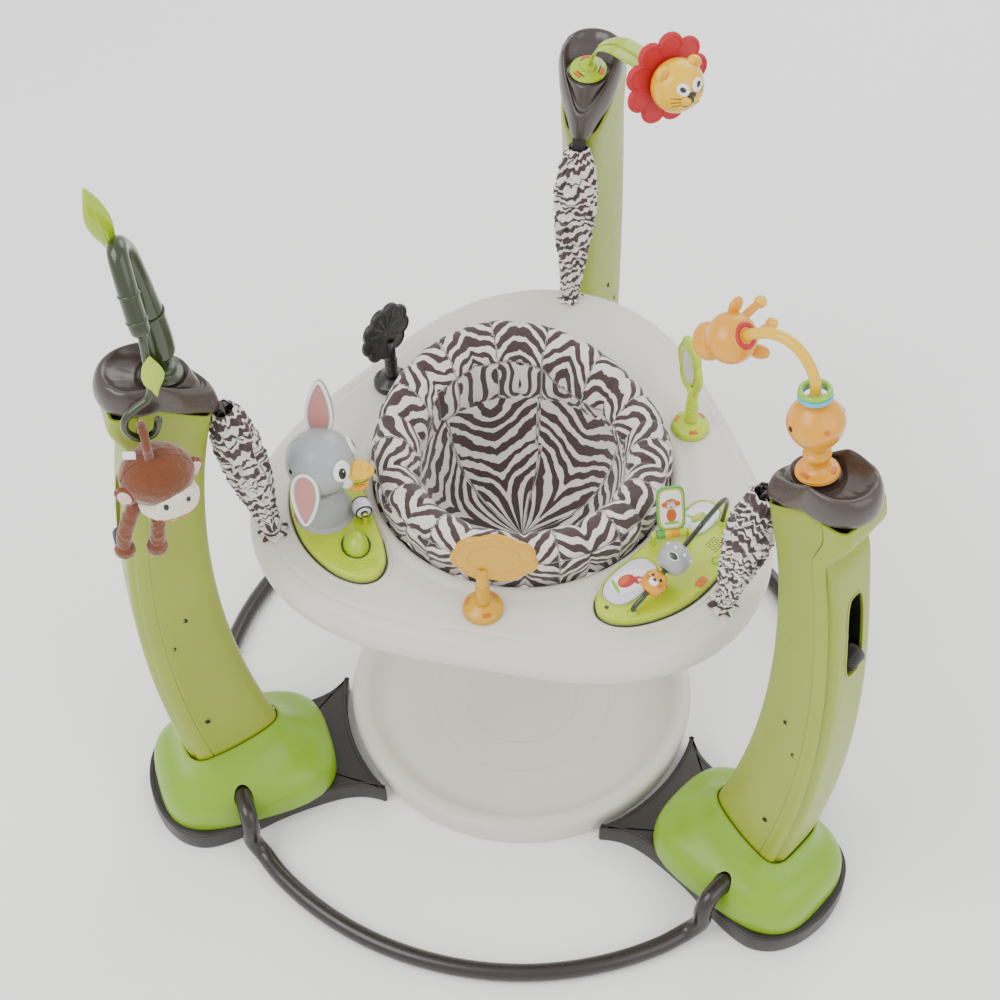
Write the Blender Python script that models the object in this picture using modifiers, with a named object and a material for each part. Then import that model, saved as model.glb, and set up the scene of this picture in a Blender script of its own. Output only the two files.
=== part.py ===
"""Activity jumper: a sprung seat and toy tray hung between three towers on a floor ring.

Metres, +Z up. The origin is the centre of the foot pad's underside, on the floor.
Three tower frames stand round it; in each, +X points outward and +Y runs round the ring.
"""
import bmesh
import bpy
from math import atan2, cos, pi, radians, sin
from mathutils import Matrix, Vector

# ---- driving dimensions ----
GAP = 0.0003                    # clearance kept between pieces that rest on each other
WALL = 0.003                    # moulded shell wall
TOWERS = {"back": 90.0, "left": 210.0, "right": 330.0}   # direction of each tower, degrees
PAD_RADIUS = 0.232
PAD_HEIGHT = 0.045
PAD_FLOOR = 0.010
PLATE_TOP = 0.030
PLATE_TIP_RADIUS = 0.2405       # the base plates hug the pad at this radius
TONGUE_INNER = 0.185
TONGUE_TOP = 0.007
TONGUE_HALF_ANGLE = radians(15)
FOOT_CENTRE = 0.388             # foot outline: a superellipse in the tower frame
FOOT_HALF_LENGTH = 0.117
FOOT_HALF_WIDTH = 0.090
FOOT_POWER = 3.2
COLLAR_TOP = 0.128
TUBE_RADIUS = 0.0115
RING_RADIUS = 0.418
TUBE_ENTRY_Z = 0.072
SHELL_BOTTOM = 0.034
RIM_Z = 0.762                   # flat outer part of the tower's top edge
CAP_SEAM = 0.0009               # gap between the shells and the cap
NOSE_Z = 0.712                  # the top edge at the nose
NOSE_X = 0.354
CAP_TOP = 0.798
SOCKET_X = 0.402                # centre of the bowl that holds a tower toy
SOCKET_Z = 0.7765
SLOT_Z = (0.512, 0.636)
SLOT_HALF_WIDTH = 0.014
KNOB_Z = 0.534
TRAY_RADIUS = 0.303
TRAY_WAVE = 0.031               # how far the tray's corners stand out
TRAY_BOTTOM = 0.435
TRAY_TOP = 0.484
HOLE_RADIUS = 0.180
LEDGE_Z = 0.4525
SEAT_FRONT = radians(305)
SEAT_BACK_LIFT = 0.045
LEG_HOLE_RADIUS = 0.042
STATION_TOP = 0.4965
TOY_RADIUS = 0.218              # the three stalk toys stand here, between the stations
PANEL_Z = 0.578

COLOURS = {                     # name: (colour, roughness, metallic)
    "green": ((0.40, 0.46, 0.10), 0.38, 0.0),
    "lime": ((0.52, 0.62, 0.08), 0.35, 0.0),
    "brown": ((0.06, 0.045, 0.04), 0.35, 0.0),
    "cream": ((0.78, 0.75, 0.70), 0.40, 0.0),
    "zebra": ((0.55, 0.52, 0.48), 0.90, 0.0),
    "steel": ((0.60, 0.60, 0.60), 0.30, 1.0),
    "grey": ((0.50, 0.50, 0.52), 0.40, 0.0),
    "orange": ((0.90, 0.45, 0.05), 0.35, 0.0),
    "yellow": ((0.90, 0.65, 0.05), 0.35, 0.0),
    "black": ((0.02, 0.02, 0.02), 0.40, 0.0),
    "white": ((0.85, 0.85, 0.88), 0.30, 0.0),
    "red": ((0.75, 0.04, 0.04), 0.60, 0.0),
    "blue": ((0.15, 0.55, 0.80), 0.35, 0.0),
    "plush": ((0.24, 0.09, 0.04), 0.95, 0.0),
    "dark_green": ((0.06, 0.12, 0.03), 0.35, 0.0),
}


# ---- scene and object helpers ----
def clear_scene():
    for obj in list(bpy.data.objects):
        bpy.data.objects.remove(obj, do_unlink=True)


def new_collection(name):
    collection = bpy.data.collections.new(name)
    bpy.context.scene.collection.children.link(collection)
    return collection


def add_material(obj, colour):
    rgb, rough, metal = COLOURS[colour]
    material = bpy.data.materials.new(obj.name + "_" + colour)
    material.use_nodes = True
    shader = material.node_tree.nodes["Principled BSDF"]
    shader.inputs["Base Color"].default_value = (*rgb, 1.0)
    shader.inputs["Roughness"].default_value = rough
    shader.inputs["Metallic"].default_value = metal
    obj.data.materials.clear()
    obj.data.materials.append(material)


def new_object(name, data, parent=None, location=(0, 0, 0), rotation=(0, 0, 0), colour=None):
    """An object in the part's collection, or in the cutters' one when it has no colour."""
    obj = bpy.data.objects.new(name, data)
    obj.location = location
    obj.rotation_euler = rotation
    obj.parent = parent
    if colour:
        PART.objects.link(obj)
        add_material(obj, colour)
    else:
        CUTTERS.objects.link(obj)
        obj.hide_render = True
        obj.display_type = "WIRE"
    return obj


def new_frame(name, parent=None, location=(0, 0, 0), rotation=(0, 0, 0)):
    """An empty that carries the pieces placed in its own axes."""
    frame = bpy.data.objects.new(name, None)
    frame.location = location
    frame.rotation_euler = rotation
    frame.parent = parent
    PART.objects.link(frame)
    return frame


def aim(direction):
    """The rotation that turns local Z to this direction."""
    return Vector(direction).to_track_quat("Z", "Y").to_euler()


def finish_mesh(bm, name, angle=35):
    bmesh.ops.recalc_face_normals(bm, faces=bm.faces)
    mesh = bpy.data.meshes.new(name)
    bm.to_mesh(mesh)
    bm.free()
    mesh.shade_smooth()
    mesh.set_sharp_from_angle(angle=radians(angle))
    return mesh


# ---- shape helpers: each returns a mesh ----
def loft_mesh(name, rings, closed_path=False):
    """A skin over closed rings of equal length: capped at both ends, or joined end to end."""
    bm = bmesh.new()
    rows = [[bm.verts.new(point) for point in ring] for ring in rings]
    count = len(rows[0])
    pairs = list(zip(rows, rows[1:]))
    if closed_path:
        pairs.append((rows[-1], rows[0]))
    for low, high in pairs:
        for i in range(count):
            j = (i + 1) % count
            bm.faces.new((low[i], low[j], high[j], high[i]))
    if not closed_path:
        bm.faces.new(list(reversed(rows[0])))
        bm.faces.new(rows[-1])
    return finish_mesh(bm, name)


def sheet_mesh(name, rows):
    """An open surface over rows of points, for a Solidify modifier."""
    bm = bmesh.new()
    verts = [[bm.verts.new(point) for point in row] for row in rows]
    for low, high in zip(verts, verts[1:]):
        for i in range(len(low) - 1):
            bm.faces.new((low[i], low[i + 1], high[i + 1], high[i]))
    mesh = bpy.data.meshes.new(name)
    bm.to_mesh(mesh)
    bm.free()
    mesh.shade_smooth()
    return mesh


def profile_mesh(name, points, ring=False):
    """A line of (radius, z) points for a Screw modifier, closed on itself for a ring."""
    verts = [(x, 0.0, z) for x, z in points]
    edges = [(i, i + 1) for i in range(len(points) - 1)]
    if ring:
        edges.append((len(points) - 1, 0))
    mesh = bpy.data.meshes.new(name)
    mesh.from_pydata(verts, edges, [])
    return mesh


def sphere_mesh(name, radii, segments=16, rings=10, offset=(0, 0, 0), turn=None):
    bm = bmesh.new()
    bmesh.ops.create_uvsphere(bm, u_segments=segments, v_segments=rings, radius=1.0)
    bmesh.ops.scale(bm, vec=radii, verts=bm.verts)
    if turn:
        bmesh.ops.rotate(bm, cent=(0, 0, 0), matrix=turn, verts=bm.verts)
    bmesh.ops.translate(bm, vec=offset, verts=bm.verts)
    return finish_mesh(bm, name)


def cylinder_mesh(name, radius, depth, segments=16, top_radius=None):
    bm = bmesh.new()
    bmesh.ops.create_cone(
        bm, cap_ends=True, segments=segments, depth=depth, radius1=radius,
        radius2=radius if top_radius is None else top_radius,
    )
    return finish_mesh(bm, name)


def box_mesh(name, size):
    bm = bmesh.new()
    bmesh.ops.create_cube(bm, size=1.0)
    bmesh.ops.scale(bm, vec=size, verts=bm.verts)
    return finish_mesh(bm, name)


def prism_mesh(name, outline, bottom, top):
    """A flat plate between two heights over a closed outline of (x, y) points."""
    return loft_mesh(name, [[(x, y, z) for x, y in outline] for z in (bottom, top)])


def superellipse(cx, cy, half_x, half_y, power, count):
    points = []
    for i in range(count):
        a = 2 * pi * i / count
        x = abs(cos(a)) ** (2 / power) * half_x * (1 if cos(a) >= 0 else -1)
        y = abs(sin(a)) ** (2 / power) * half_y * (1 if sin(a) >= 0 else -1)
        points.append((cx + x, cy + y))
    return points


def smooth_outline(points, steps):
    """A closed Catmull-Rom curve through the points."""
    result = []
    count = len(points)
    for i in range(count):
        p0, p1, p2, p3 = (Vector(points[(i + k - 1) % count]) for k in range(4))
        for s in range(steps):
            t = s / steps
            result.append(tuple(
                0.5 * ((2 * p1) + (p2 - p0) * t + (2 * p0 - 5 * p1 + 4 * p2 - p3) * t * t
                       + (3 * p1 - p0 - 3 * p2 + p3) * t ** 3)))
    return result


def mirrored(half):
    """A closed outline from its half with y >= 0, whose two ends lie on the X axis."""
    return half + [(x, -y) for x, y in reversed(half[1:-1])]


# ---- object helpers ----
def turned(name, points, colour, steps=24, ring=False, **place):
    obj = new_object(name, profile_mesh(name, points, ring), colour=colour, **place)
    screw = obj.modifiers.new("turn", "SCREW")
    screw.axis = "Z"
    screw.steps = steps
    screw.render_steps = steps
    screw.use_merge_vertices = True
    screw.merge_threshold = 0.00005
    screw.use_smooth_shade = True
    return obj


def rod(name, points, radius, colour, sides=2, taper=None, **place):
    """A round bar along a path; taper gives each point's share of the radius."""
    curve = bpy.data.curves.new(name, "CURVE")
    curve.dimensions = "3D"
    curve.bevel_depth = radius
    curve.bevel_resolution = sides
    curve.use_fill_caps = True
    spline = curve.splines.new("POLY")
    spline.points.add(len(points) - 1)
    for k, (target, point) in enumerate(zip(spline.points, points)):
        target.co = (*point, 1.0)
        target.radius = taper[k] if taper else 1.0
    return new_object(name, curve, colour=colour, **place)


def as_mesh(obj, colour):
    """Turns a curve object into a welded mesh object, so that it can be cut or joined."""
    bpy.context.view_layer.update()
    graph = bpy.context.evaluated_depsgraph_get()
    mesh = bpy.data.meshes.new_from_object(obj.evaluated_get(graph))
    bm = bmesh.new()
    bm.from_mesh(mesh)
    bmesh.ops.remove_doubles(bm, verts=bm.verts, dist=0.00001)
    bm.to_mesh(mesh)
    bm.free()
    name = obj.name
    matrix = obj.matrix_world.copy()
    bpy.data.objects.remove(obj, do_unlink=True)
    solid = new_object(name, mesh, colour=colour)
    solid.matrix_world = matrix
    return solid


def solidify(obj, thickness=WALL):
    wall = obj.modifiers.new("wall", "SOLIDIFY")
    wall.thickness = thickness
    wall.offset = -1.0
    wall.use_even_offset = True
    wall.use_quality_normals = True


def combine(obj, other, operation):
    step = obj.modifiers.new(operation.lower(), "BOOLEAN")
    step.operation = operation
    step.object = other
    step.solver = "EXACT"


# ---- the tower's outline ----
def smoothstep(value):
    value = min(max(value, 0.0), 1.0)
    return value * value * (3 - 2 * value)


def inner_x(z):
    return 0.386 - 0.43 * (z - 0.46) ** 2


def outer_x(z):
    """The outer face, which flares into an overhanging rim near the top."""
    return 0.488 - 0.36 * (z - 0.41) ** 2 + 0.024 * smoothstep((z - 0.695) / 0.05)


def tower_half_width(z):
    return 0.0435 - 0.005 * z


def edge_z(x):
    """Height of the tower's top edge: level outside, falling straight to the nose."""
    share = (x - NOSE_X) / (SHOULDER_X - NOSE_X)
    return NOSE_Z + (RIM_Z - NOSE_Z) * min(share, 1.0)


SHOULDER_SHARE = 0.55           # the edge starts to fall at this share of the depth
SHOULDER_X = inner_x(RIM_Z) + SHOULDER_SHARE * (outer_x(RIM_Z) - inner_x(RIM_Z))
INNER_SECTION = [(0.748, 0.97), (SHOULDER_SHARE, 0.85), (0.30, 0.63), (0.12, 0.42), (0.035, 0.26),
                 (0.0, 0.09)]          # (share of depth, share of half width)
OUTER_SECTION = [(0.756, 0.97), (0.85, 1.0), (0.93, 0.94), (0.985, 0.74), (1.0, 0.42)]
LEVELS = [SHELL_BOTTOM, 0.15, 0.28, 0.40, 0.51, 0.61, 0.685]


def section_point(share, width, z):
    """A wall point; the section grows from a wedge to the cap's egg shape near the top."""
    fullness = 1 - 0.4 * smoothstep((z - 0.60) / 0.12)
    y = abs(width) ** fullness * tower_half_width(z) * (1 if width > 0 else -1)
    return inner_x(z) + share * (outer_x(z) - inner_x(z)), y, z


def top_point(share, width):
    """The section point where the wall meets the cap."""
    z = NOSE_Z
    for _ in range(12):
        x, y, _z = section_point(share, width, z)
        z = edge_z(x)
    return x, y, z - CAP_SEAM


def tower_rows(section, side, extra_levels=()):
    """Rows of wall points from the seam on one side (+1 or -1) round to the other seam."""
    full = [(share, side * width) for share, width in section]
    full += [(share, -side * width) for share, width in reversed(section)]
    rows = []
    for z in LEVELS + list(extra_levels):
        rows.append([section_point(share, width, z) for share, width in full])
    rows.append([top_point(share, width) for share, width in full])
    return rows


# ---- stand ----
CAP_HALF = [(0.4750, 0.0), (0.4690, 0.021), (0.4530, 0.0355), (0.4320, 0.0405),
            (SHOULDER_X, 0.0390), (0.3900, 0.0315), (0.3700, 0.0205), (0.3570, 0.0130),
            (0.3500, 0.0065), (0.3480, 0.0)]


def cap_outline():
    """Egg shape: a large round outer end narrowing to a small round nose."""
    return mirrored(CAP_HALF)


def make_pad():
    profile = [(0.0, PAD_FLOOR + 0.002), (0.160, PAD_FLOOR + 0.002), (0.193, PAD_FLOOR + 0.008),
               (0.209, PAD_HEIGHT - 0.006), (0.218, PAD_HEIGHT), (0.226, PAD_HEIGHT),
               (PAD_RADIUS, PAD_HEIGHT - 0.008), (0.2305, 0.016), (0.224, 0.0), (0.0, 0.0)]
    pad = turned("foot_pad", profile, "cream", steps=32)
    for side, angle in TOWERS.items():
        frame = new_frame("notch_frame_" + side, rotation=(0, 0, radians(angle)))
        outline = tongue_outline(GAP)
        mesh = prism_mesh("notch", outline, -0.002, TONGUE_TOP + GAP)
        combine(pad, new_object("pad_notch_" + side, mesh, parent=frame), "DIFFERENCE")


def tongue_outline(grow):
    """A curved strip that slips under the pad."""
    half = TONGUE_HALF_ANGLE + grow / PAD_RADIUS
    angles = [-half + half * i / 4 for i in range(9)]
    inner = [((TONGUE_INNER - grow) * cos(a), (TONGUE_INNER - grow) * sin(a)) for a in angles]
    outer = [(0.245 * cos(a), 0.245 * sin(a)) for a in reversed(angles)]
    return inner + outer


def plate_outline():
    tip = radians(23.5)
    arc = [(PLATE_TIP_RADIUS * cos(tip * k / 4), PLATE_TIP_RADIUS * sin(tip * k / 4))
           for k in range(5)]
    flank = [(0.232, 0.0905), (0.252, 0.0805), (0.280, 0.0755), (0.320, 0.0765), (0.360, 0.081),
             (0.400, 0.0895), (0.440, 0.0945), (0.468, 0.0915), (0.491, 0.076), (0.506, 0.052),
             (0.5135, 0.026), (0.516, 0.0)]
    return mirrored(arc + flank)


def make_base_plate(side, frame):
    plate = new_object("base_plate_" + side,
                       prism_mesh("base_plate", plate_outline(), 0.0, PLATE_TOP),
                       parent=frame, colour="brown")
    tongue = prism_mesh("tongue", tongue_outline(0.0), 0.0, TONGUE_TOP)
    combine(plate, new_object("tongue_" + side, tongue, parent=frame), "UNION")


def tower_outline(z, grow):
    """The whole section at a height, moved outward; it starts on the outer face's +Y side."""
    half = list(reversed(OUTER_SECTION)) + INNER_SECTION[1:]
    full = half + [(share, -width) for share, width in reversed(half)]
    points = [Vector(section_point(share, width, z)) for share, width in full]
    moved = []
    for i, point in enumerate(points):
        along = points[(i + 1) % len(points)] - points[i - 1]
        moved.append(point + Vector((along.y, -along.x, 0)).normalized() * grow)
    return moved


def foot_edge(direction):
    """The foot's superellipse outline in one direction from its centre."""
    across = (abs(cos(direction)) / FOOT_HALF_LENGTH) ** FOOT_POWER
    along = (abs(sin(direction)) / FOOT_HALF_WIDTH) ** FOOT_POWER
    reach = (across + along) ** (-1 / FOOT_POWER)
    return Vector((FOOT_CENTRE + reach * cos(direction), reach * sin(direction), 0))


def foot_ring(z, amount):
    """Foot outline at amount 0, the collar round the tower at amount 1."""
    ring = []
    for point in tower_outline(z, 0.0045):
        edge = foot_edge(atan2(point.y, point.x - FOOT_CENTRE))
        mixed = edge.lerp(point, amount)
        ring.append((mixed.x, mixed.y, z))
    ring.append(ring[0])
    return ring


def make_foot_cover(side, frame):
    stages = [(PLATE_TOP + GAP, 0.0), (0.056, 0.03), (0.071, 0.20), (0.084, 0.50),
              (0.104, 0.85), (COLLAR_TOP, 1.0)]
    rows = [foot_ring(z, amount) for z, amount in stages]
    cover = new_object("foot_cover_" + side, sheet_mesh("foot_cover", rows), parent=frame,
                       colour="green")
    weld = cover.modifiers.new("close", "WELD")
    weld.merge_threshold = 0.00005
    solidify(cover)
    for sign, end in ((1, "a"), (-1, "b")):
        hole = new_object("tube_hole_%s_%s" % (side, end),
                          cylinder_mesh("tube_hole", TUBE_RADIUS + 4 * GAP, 0.050, 10),
                          parent=frame, location=(0.405, sign * 0.092, TUBE_ENTRY_Z),
                          rotation=(pi / 2, 0, 0))
        combine(cover, hole, "DIFFERENCE")


def make_base_tube(name, angle):
    """An arc on the floor whose two ends rise and turn into the neighbouring feet."""
    def tube_point(radius, turn, z):
        a = radians(angle + turn)
        return radius * cos(a), radius * sin(a), z

    end_angle = 60.0
    floor_z = TUBE_RADIUS + 0.0002
    half = []
    for k in range(6):
        half.append(tube_point(RING_RADIUS, 7.2 * k, floor_z))
    half.append(tube_point(RING_RADIUS - 0.001, 41.5, floor_z + 0.002))
    entry = radians(angle + end_angle)
    out = Vector((cos(entry), sin(entry), 0))
    along = Vector((-sin(entry), cos(entry), 0))
    for x, y, z in ((0.406, -0.1175, 0.032), (0.405, -0.114, 0.054), (0.405, -0.1045, 0.068),
                    (0.405, -0.092, TUBE_ENTRY_Z), (0.405, -0.0725, TUBE_ENTRY_Z)):
        half.append(tuple(out * x + along * y + Vector((0, 0, z))))
    axis = Matrix.Rotation(radians(angle), 3, "Z")
    other = []
    for point in half[1:]:
        local = axis.transposed() @ Vector(point)
        local.y = -local.y
        other.append(tuple(axis @ local))
    path = list(reversed(other)) + half
    rod(name, path, TUBE_RADIUS, "brown", sides=1)


def make_tower_shells(side, frame):
    inner = new_object("tower_inner_" + side, sheet_mesh("tower_inner", tower_rows(INNER_SECTION, 1)),
                       parent=frame, colour="green")
    solidify(inner)
    outer = new_object("tower_outer_" + side,
                       sheet_mesh("tower_outer", tower_rows(OUTER_SECTION, -1, (0.715, 0.738))),
                       parent=frame, colour="green")
    solidify(outer)
    middle = (SLOT_Z[0] + SLOT_Z[1]) / 2
    outline = superellipse(0.0, 0.0, (SLOT_Z[1] - SLOT_Z[0]) / 2, SLOT_HALF_WIDTH, 4.0, 12)
    slot = new_object("slot_cutter_" + side, prism_mesh("slot", outline, -0.03, 0.03),
                      parent=frame, location=(0.482, 0, middle), rotation=(0, pi / 2, 0))
    combine(outer, slot, "DIFFERENCE")


def cap_ring(scale, lift):
    """The egg shape shrunk towards the bowl; its height follows the tower's top edge."""
    ring = []
    for x, y in cap_outline():
        px = SOCKET_X + (x - SOCKET_X) * scale
        py = y * scale
        ring.append((px, py, edge_z(px) + lift))
    return ring


def bowl_ring(radius, z):
    ring = []
    for x, y in cap_outline():
        a = atan2(y, x - SOCKET_X)
        ring.append((SOCKET_X + radius * cos(a), radius * sin(a), z))
    return ring


def make_cap(side, frame):
    """A dished cap: its crest follows the edge, and the toy's socket is a bowl in it."""
    crest = CAP_TOP - RIM_Z
    rings = [bowl_ring(0.0300, SOCKET_Z - WALL), cap_ring(0.84, crest - 0.010),
             cap_ring(0.915, 0.012), cap_ring(0.915, 0.0), cap_ring(1.0, 0.0),
             cap_ring(1.02, 0.010), cap_ring(0.985, 0.024), cap_ring(0.90, crest),
             cap_ring(0.80, crest - 0.001), bowl_ring(0.028, SOCKET_Z + 0.004),
             bowl_ring(0.026, SOCKET_Z)]
    new_object("tower_cap_" + side, loft_mesh("tower_cap", rings), parent=frame, colour="brown")


def make_adjuster(side, frame):
    """The rolled strap end in the slot, with the first stretch of webbing above it."""
    x = outer_x(KNOB_Z)
    place = new_frame("adjuster_frame_" + side, parent=frame, location=(x - 0.004, 0, KNOB_Z))
    knob = new_object("strap_adjuster_" + side, cylinder_mesh("knob", 0.0125, 0.022, 16),
                      parent=place, rotation=(pi / 2, 0, 0), colour="black")
    strap = new_object("strap_stub_" + side, box_mesh("stub", (0.0022, 0.020, 0.045)),
                       parent=place, location=(-0.013, 0, 0.019), rotation=(0, -0.10, 0))
    lug = new_object("strap_lug_" + side, box_mesh("lug", (0.012, 0.018, 0.008)),
                     parent=place, location=(-0.010, 0, 0.0))
    combine(knob, lug, "UNION")
    combine(knob, strap, "UNION")


SLEEVE_TOP = Vector((0.3445, 0.0, 0.706))
SLEEVE_END = Vector((0.3090, 0.0, 0.4885))


def make_sleeve_and_spring(side, frame):
    axis = SLEEVE_TOP - SLEEVE_END
    length = axis.length
    turn = aim(axis)
    outer = [(0.0125, length), (0.0185, length * 0.86), (0.0225, length * 0.6),
             (0.0215, length * 0.35), (0.0165, length * 0.12), (0.0115, 0.0)]
    inner = [(0.0095, 0.0), (0.0120, length * 0.2), (0.0120, length * 0.8), (0.0098, length)]
    turned("spring_sleeve_" + side, outer + inner, "zebra", steps=10, ring=True,
           parent=frame, location=SLEEVE_END, rotation=turn)
    coils, per_turn, radius = 5, 6, 0.0072
    points = []
    for i in range(coils * per_turn + 1):
        a = 2 * pi * i / per_turn
        z = 0.020 + (length - 0.040) * i / (coils * per_turn)
        points.append((radius * cos(a), radius * sin(a), z))
    rod("tension_spring_" + side, points, 0.0012, "steel", sides=0,
        parent=frame, location=SLEEVE_END, rotation=turn)


# ---- tray and seat ----
HOOP_STEPS = 30                 # points round the tray and the seat ring


def tray_ring(inset, z, count=HOOP_STEPS):
    ring = []
    for i in range(count):
        a = 2 * pi * i / count
        radius = TRAY_RADIUS + TRAY_WAVE * cos(3 * (a - pi / 2)) - inset
        ring.append((radius * cos(a), radius * sin(a), z))
    return ring


def hole_ring(radius, z, count=HOOP_STEPS):
    return [(radius * cos(2 * pi * i / count), radius * sin(2 * pi * i / count), z)
            for i in range(count)]


def make_tray():
    wall = 0.0035
    rings = [tray_ring(0.006, TRAY_BOTTOM), tray_ring(0.0, 0.458), tray_ring(0.005, 0.476),
             tray_ring(0.016, TRAY_TOP), hole_ring(HOLE_RADIUS, TRAY_TOP),
             hole_ring(HOLE_RADIUS, LEDGE_Z),
             hole_ring(0.168, LEDGE_Z), hole_ring(0.168, LEDGE_Z - wall),
             hole_ring(HOLE_RADIUS + wall, LEDGE_Z - wall),
             hole_ring(HOLE_RADIUS + wall, TRAY_TOP - wall),
             tray_ring(0.0175, TRAY_TOP - wall), tray_ring(0.0082, 0.4745),
             tray_ring(0.0036, 0.458), tray_ring(0.0096, TRAY_BOTTOM)]
    new_object("tray", loft_mesh("tray", rings, closed_path=True), colour="cream")


def make_seat():
    ring = [(HOLE_RADIUS - 0.0015, 0.4675), (HOLE_RADIUS - 0.0015, LEDGE_Z + GAP),
            (0.1690, LEDGE_Z + GAP), (0.1690, 0.4675)]
    turned("seat_ring", ring, "cream", steps=HOOP_STEPS, ring=True)
    profile = [(0.1770, 0.4682), (0.1775, 0.486), (0.1850, 0.502), (0.1820, 0.524),
               (0.1640, 0.542), (0.1420, 0.540), (0.1260, 0.518), (0.1180, 0.460),
               (0.1020, 0.410), (0.0650, 0.372), (0.0150, 0.360), (0.0150, 0.356),
               (0.0670, 0.368), (0.1060, 0.407), (0.1230, 0.457), (0.1320, 0.4682)]
    count = 22
    rings = []
    for radius, z in profile:
        row = []
        for i in range(count):
            a = 2 * pi * i / count
            rise = max(0.0, -cos(a - SEAT_FRONT)) ** 1.5
            lift = SEAT_BACK_LIFT * rise * smoothstep((z - 0.49) / 0.05)
            row.append((radius * cos(a), radius * sin(a), z + lift))
        rings.append(row)
    seat = new_object("seat_fabric", loft_mesh("seat_fabric", rings, closed_path=True),
                      colour="zebra")
    for sign, end in ((1, "a"), (-1, "b")):
        a = SEAT_FRONT + sign * radians(36)
        direction = Vector((cos(a), sin(a), -0.35))
        cutter = new_object("leg_cutter_" + end,
                            cylinder_mesh("leg_hole", LEG_HOLE_RADIUS, 0.16, 12),
                            location=Vector((0.10 * cos(a), 0.10 * sin(a), 0.405)),
                            rotation=aim(direction))
        combine(seat, cutter, "DIFFERENCE")


# ---- toys on the tray ----
STATION_HALF = [(0.1905, 0.0), (0.191, 0.035), (0.192, 0.065), (0.197, 0.093), (0.212, 0.109),
                (0.232, 0.108), (0.252, 0.092), (0.268, 0.066), (0.279, 0.034), (0.2825, 0.0)]


def station_mesh(name):
    return prism_mesh(name, smooth_outline(mirrored(STATION_HALF), 1), TRAY_TOP + GAP, STATION_TOP)


def make_elephant(frame):
    base = new_object("elephant_station", station_mesh("station"), parent=frame, colour="lime")
    body = [(0.0, 0.5445), (0.020, 0.5445), (0.0235, 0.535), (0.029, 0.515), (0.032, STATION_TOP),
            (0.032, STATION_TOP - 0.004), (0.0, STATION_TOP - 0.004)]
    bell = turned("elephant_body_shape", body, None, steps=14, parent=frame,
                  location=(0.2445, 0.0, 0.0))
    combine(base, bell, "UNION")
    recess = new_object("lever_recess", prism_mesh("lever_recess", superellipse(
        0.2235, 0.062, 0.0165, 0.0205, 2.0, 14), STATION_TOP - 0.007, STATION_TOP + 0.01),
        parent=frame)
    combine(base, recess, "DIFFERENCE")
    lever = new_object("elephant_lever", sphere_mesh("lever", (0.0150, 0.0190, 0.019), 12, 8),
                       parent=frame, location=(0.2235, 0.062, STATION_TOP), colour="lime")
    floor = new_object("lever_trim", box_mesh("lever_trim", (0.06, 0.06, 0.04)), parent=frame,
                       location=(0.2235, 0.062, STATION_TOP - 0.0235))
    combine(lever, floor, "DIFFERENCE")
    post = rod("roller_post", [(0.2040, 0.0335, STATION_TOP - 0.003), (0.2040, 0.0335, 0.512)],
               0.0030, "lime", sides=1, parent=frame)
    post = as_mesh(post, None)
    combine(base, post, "UNION")
    roller = [(0.0048, 0.0100), (0.0095, 0.0080), (0.0115, 0.0), (0.0095, -0.0080),
              (0.0048, -0.0100)]
    turned("elephant_roller", roller, "white", steps=12, ring=True, parent=frame,
           location=(0.2040, 0.0205, 0.5115), rotation=(pi / 2, 0, 0))
    pin = new_object("roller_pin", cylinder_mesh("roller_pin", 0.0035, 0.026, 12), parent=frame,
                     location=(0.2040, 0.0215, 0.5115), rotation=(pi / 2, 0, 0))
    combine(base, pin, "UNION")
    make_elephant_head(frame)


def make_elephant_head(frame):
    """The head looks towards the seat; its frame's +X runs along the bill."""
    face = new_frame("elephant_head_frame", parent=frame, location=(0.2445, 0.0, 0.5850),
                     rotation=(0, 0, radians(150)))
    head = new_object("elephant_head", sphere_mesh("head", (0.040, 0.040, 0.0395), 14, 8),
                      parent=face, colour="grey")
    ear = sphere_mesh("ear", (0.020, 0.0045, 0.038), 8, 6)
    low = new_object("ear_low", ear, parent=face, location=(-0.006, -0.044, -0.022),
                     rotation=(radians(-20), 0, 0))
    high = new_object("ear_high", ear, parent=face, location=(-0.006, 0.034, 0.052),
                      rotation=(radians(-15), 0, 0))
    bill = new_object("bill_shape", sphere_mesh("bill", (0.022, 0.016, 0.021), 8, 5),
                      parent=face, location=(0.042, 0, -0.014))
    for piece in (low, high, bill):
        combine(head, piece, "UNION")
    flat = new_object("head_seat", cylinder_mesh("head_seat", 0.027, 0.02, 14), parent=face,
                      location=(0, 0, 0.5449 - 0.5850 - 0.01))
    combine(head, flat, "DIFFERENCE")


BUTTONS = (("light_button_inner", 0.214, -0.054, 0.021, 0.038),
           ("light_button_outer", 0.2140, 0.0740, 0.0185, 0.0265))
POCKET_FLOOR = STATION_TOP - 0.006
PAGE_HINGE = Vector((0.2114, 0.0239, 0.5115))
PAGE_TURN = radians(51.2)       # direction of the page's hinge in the tower frame
PAGE_LEAN = radians(66)         # the page stands up at this angle
WIRE_LOW = Vector((0.2475, -0.0740, 0.5130))
WIRE_HIGH = Vector((0.2500, 0.0300, 0.5560))       # the beads ride on the straight run between
WIRE = [(0.2445, -0.0860, STATION_TOP - 0.003), (0.2450, -0.0845, 0.5050), WIRE_LOW, WIRE_HIGH,
        (0.2480, 0.0620, 0.5590), (0.2463, 0.0760, 0.5530), (0.2440, 0.0825, 0.5370),
        (0.2400, 0.0855, 0.5150), (0.2376, 0.0864, STATION_TOP - 0.003)]
BEADS = (("bead_tiger", 0.20, 0.0150), ("bead_grey", 0.52, 0.0190))   # (name, place, radius)


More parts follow.
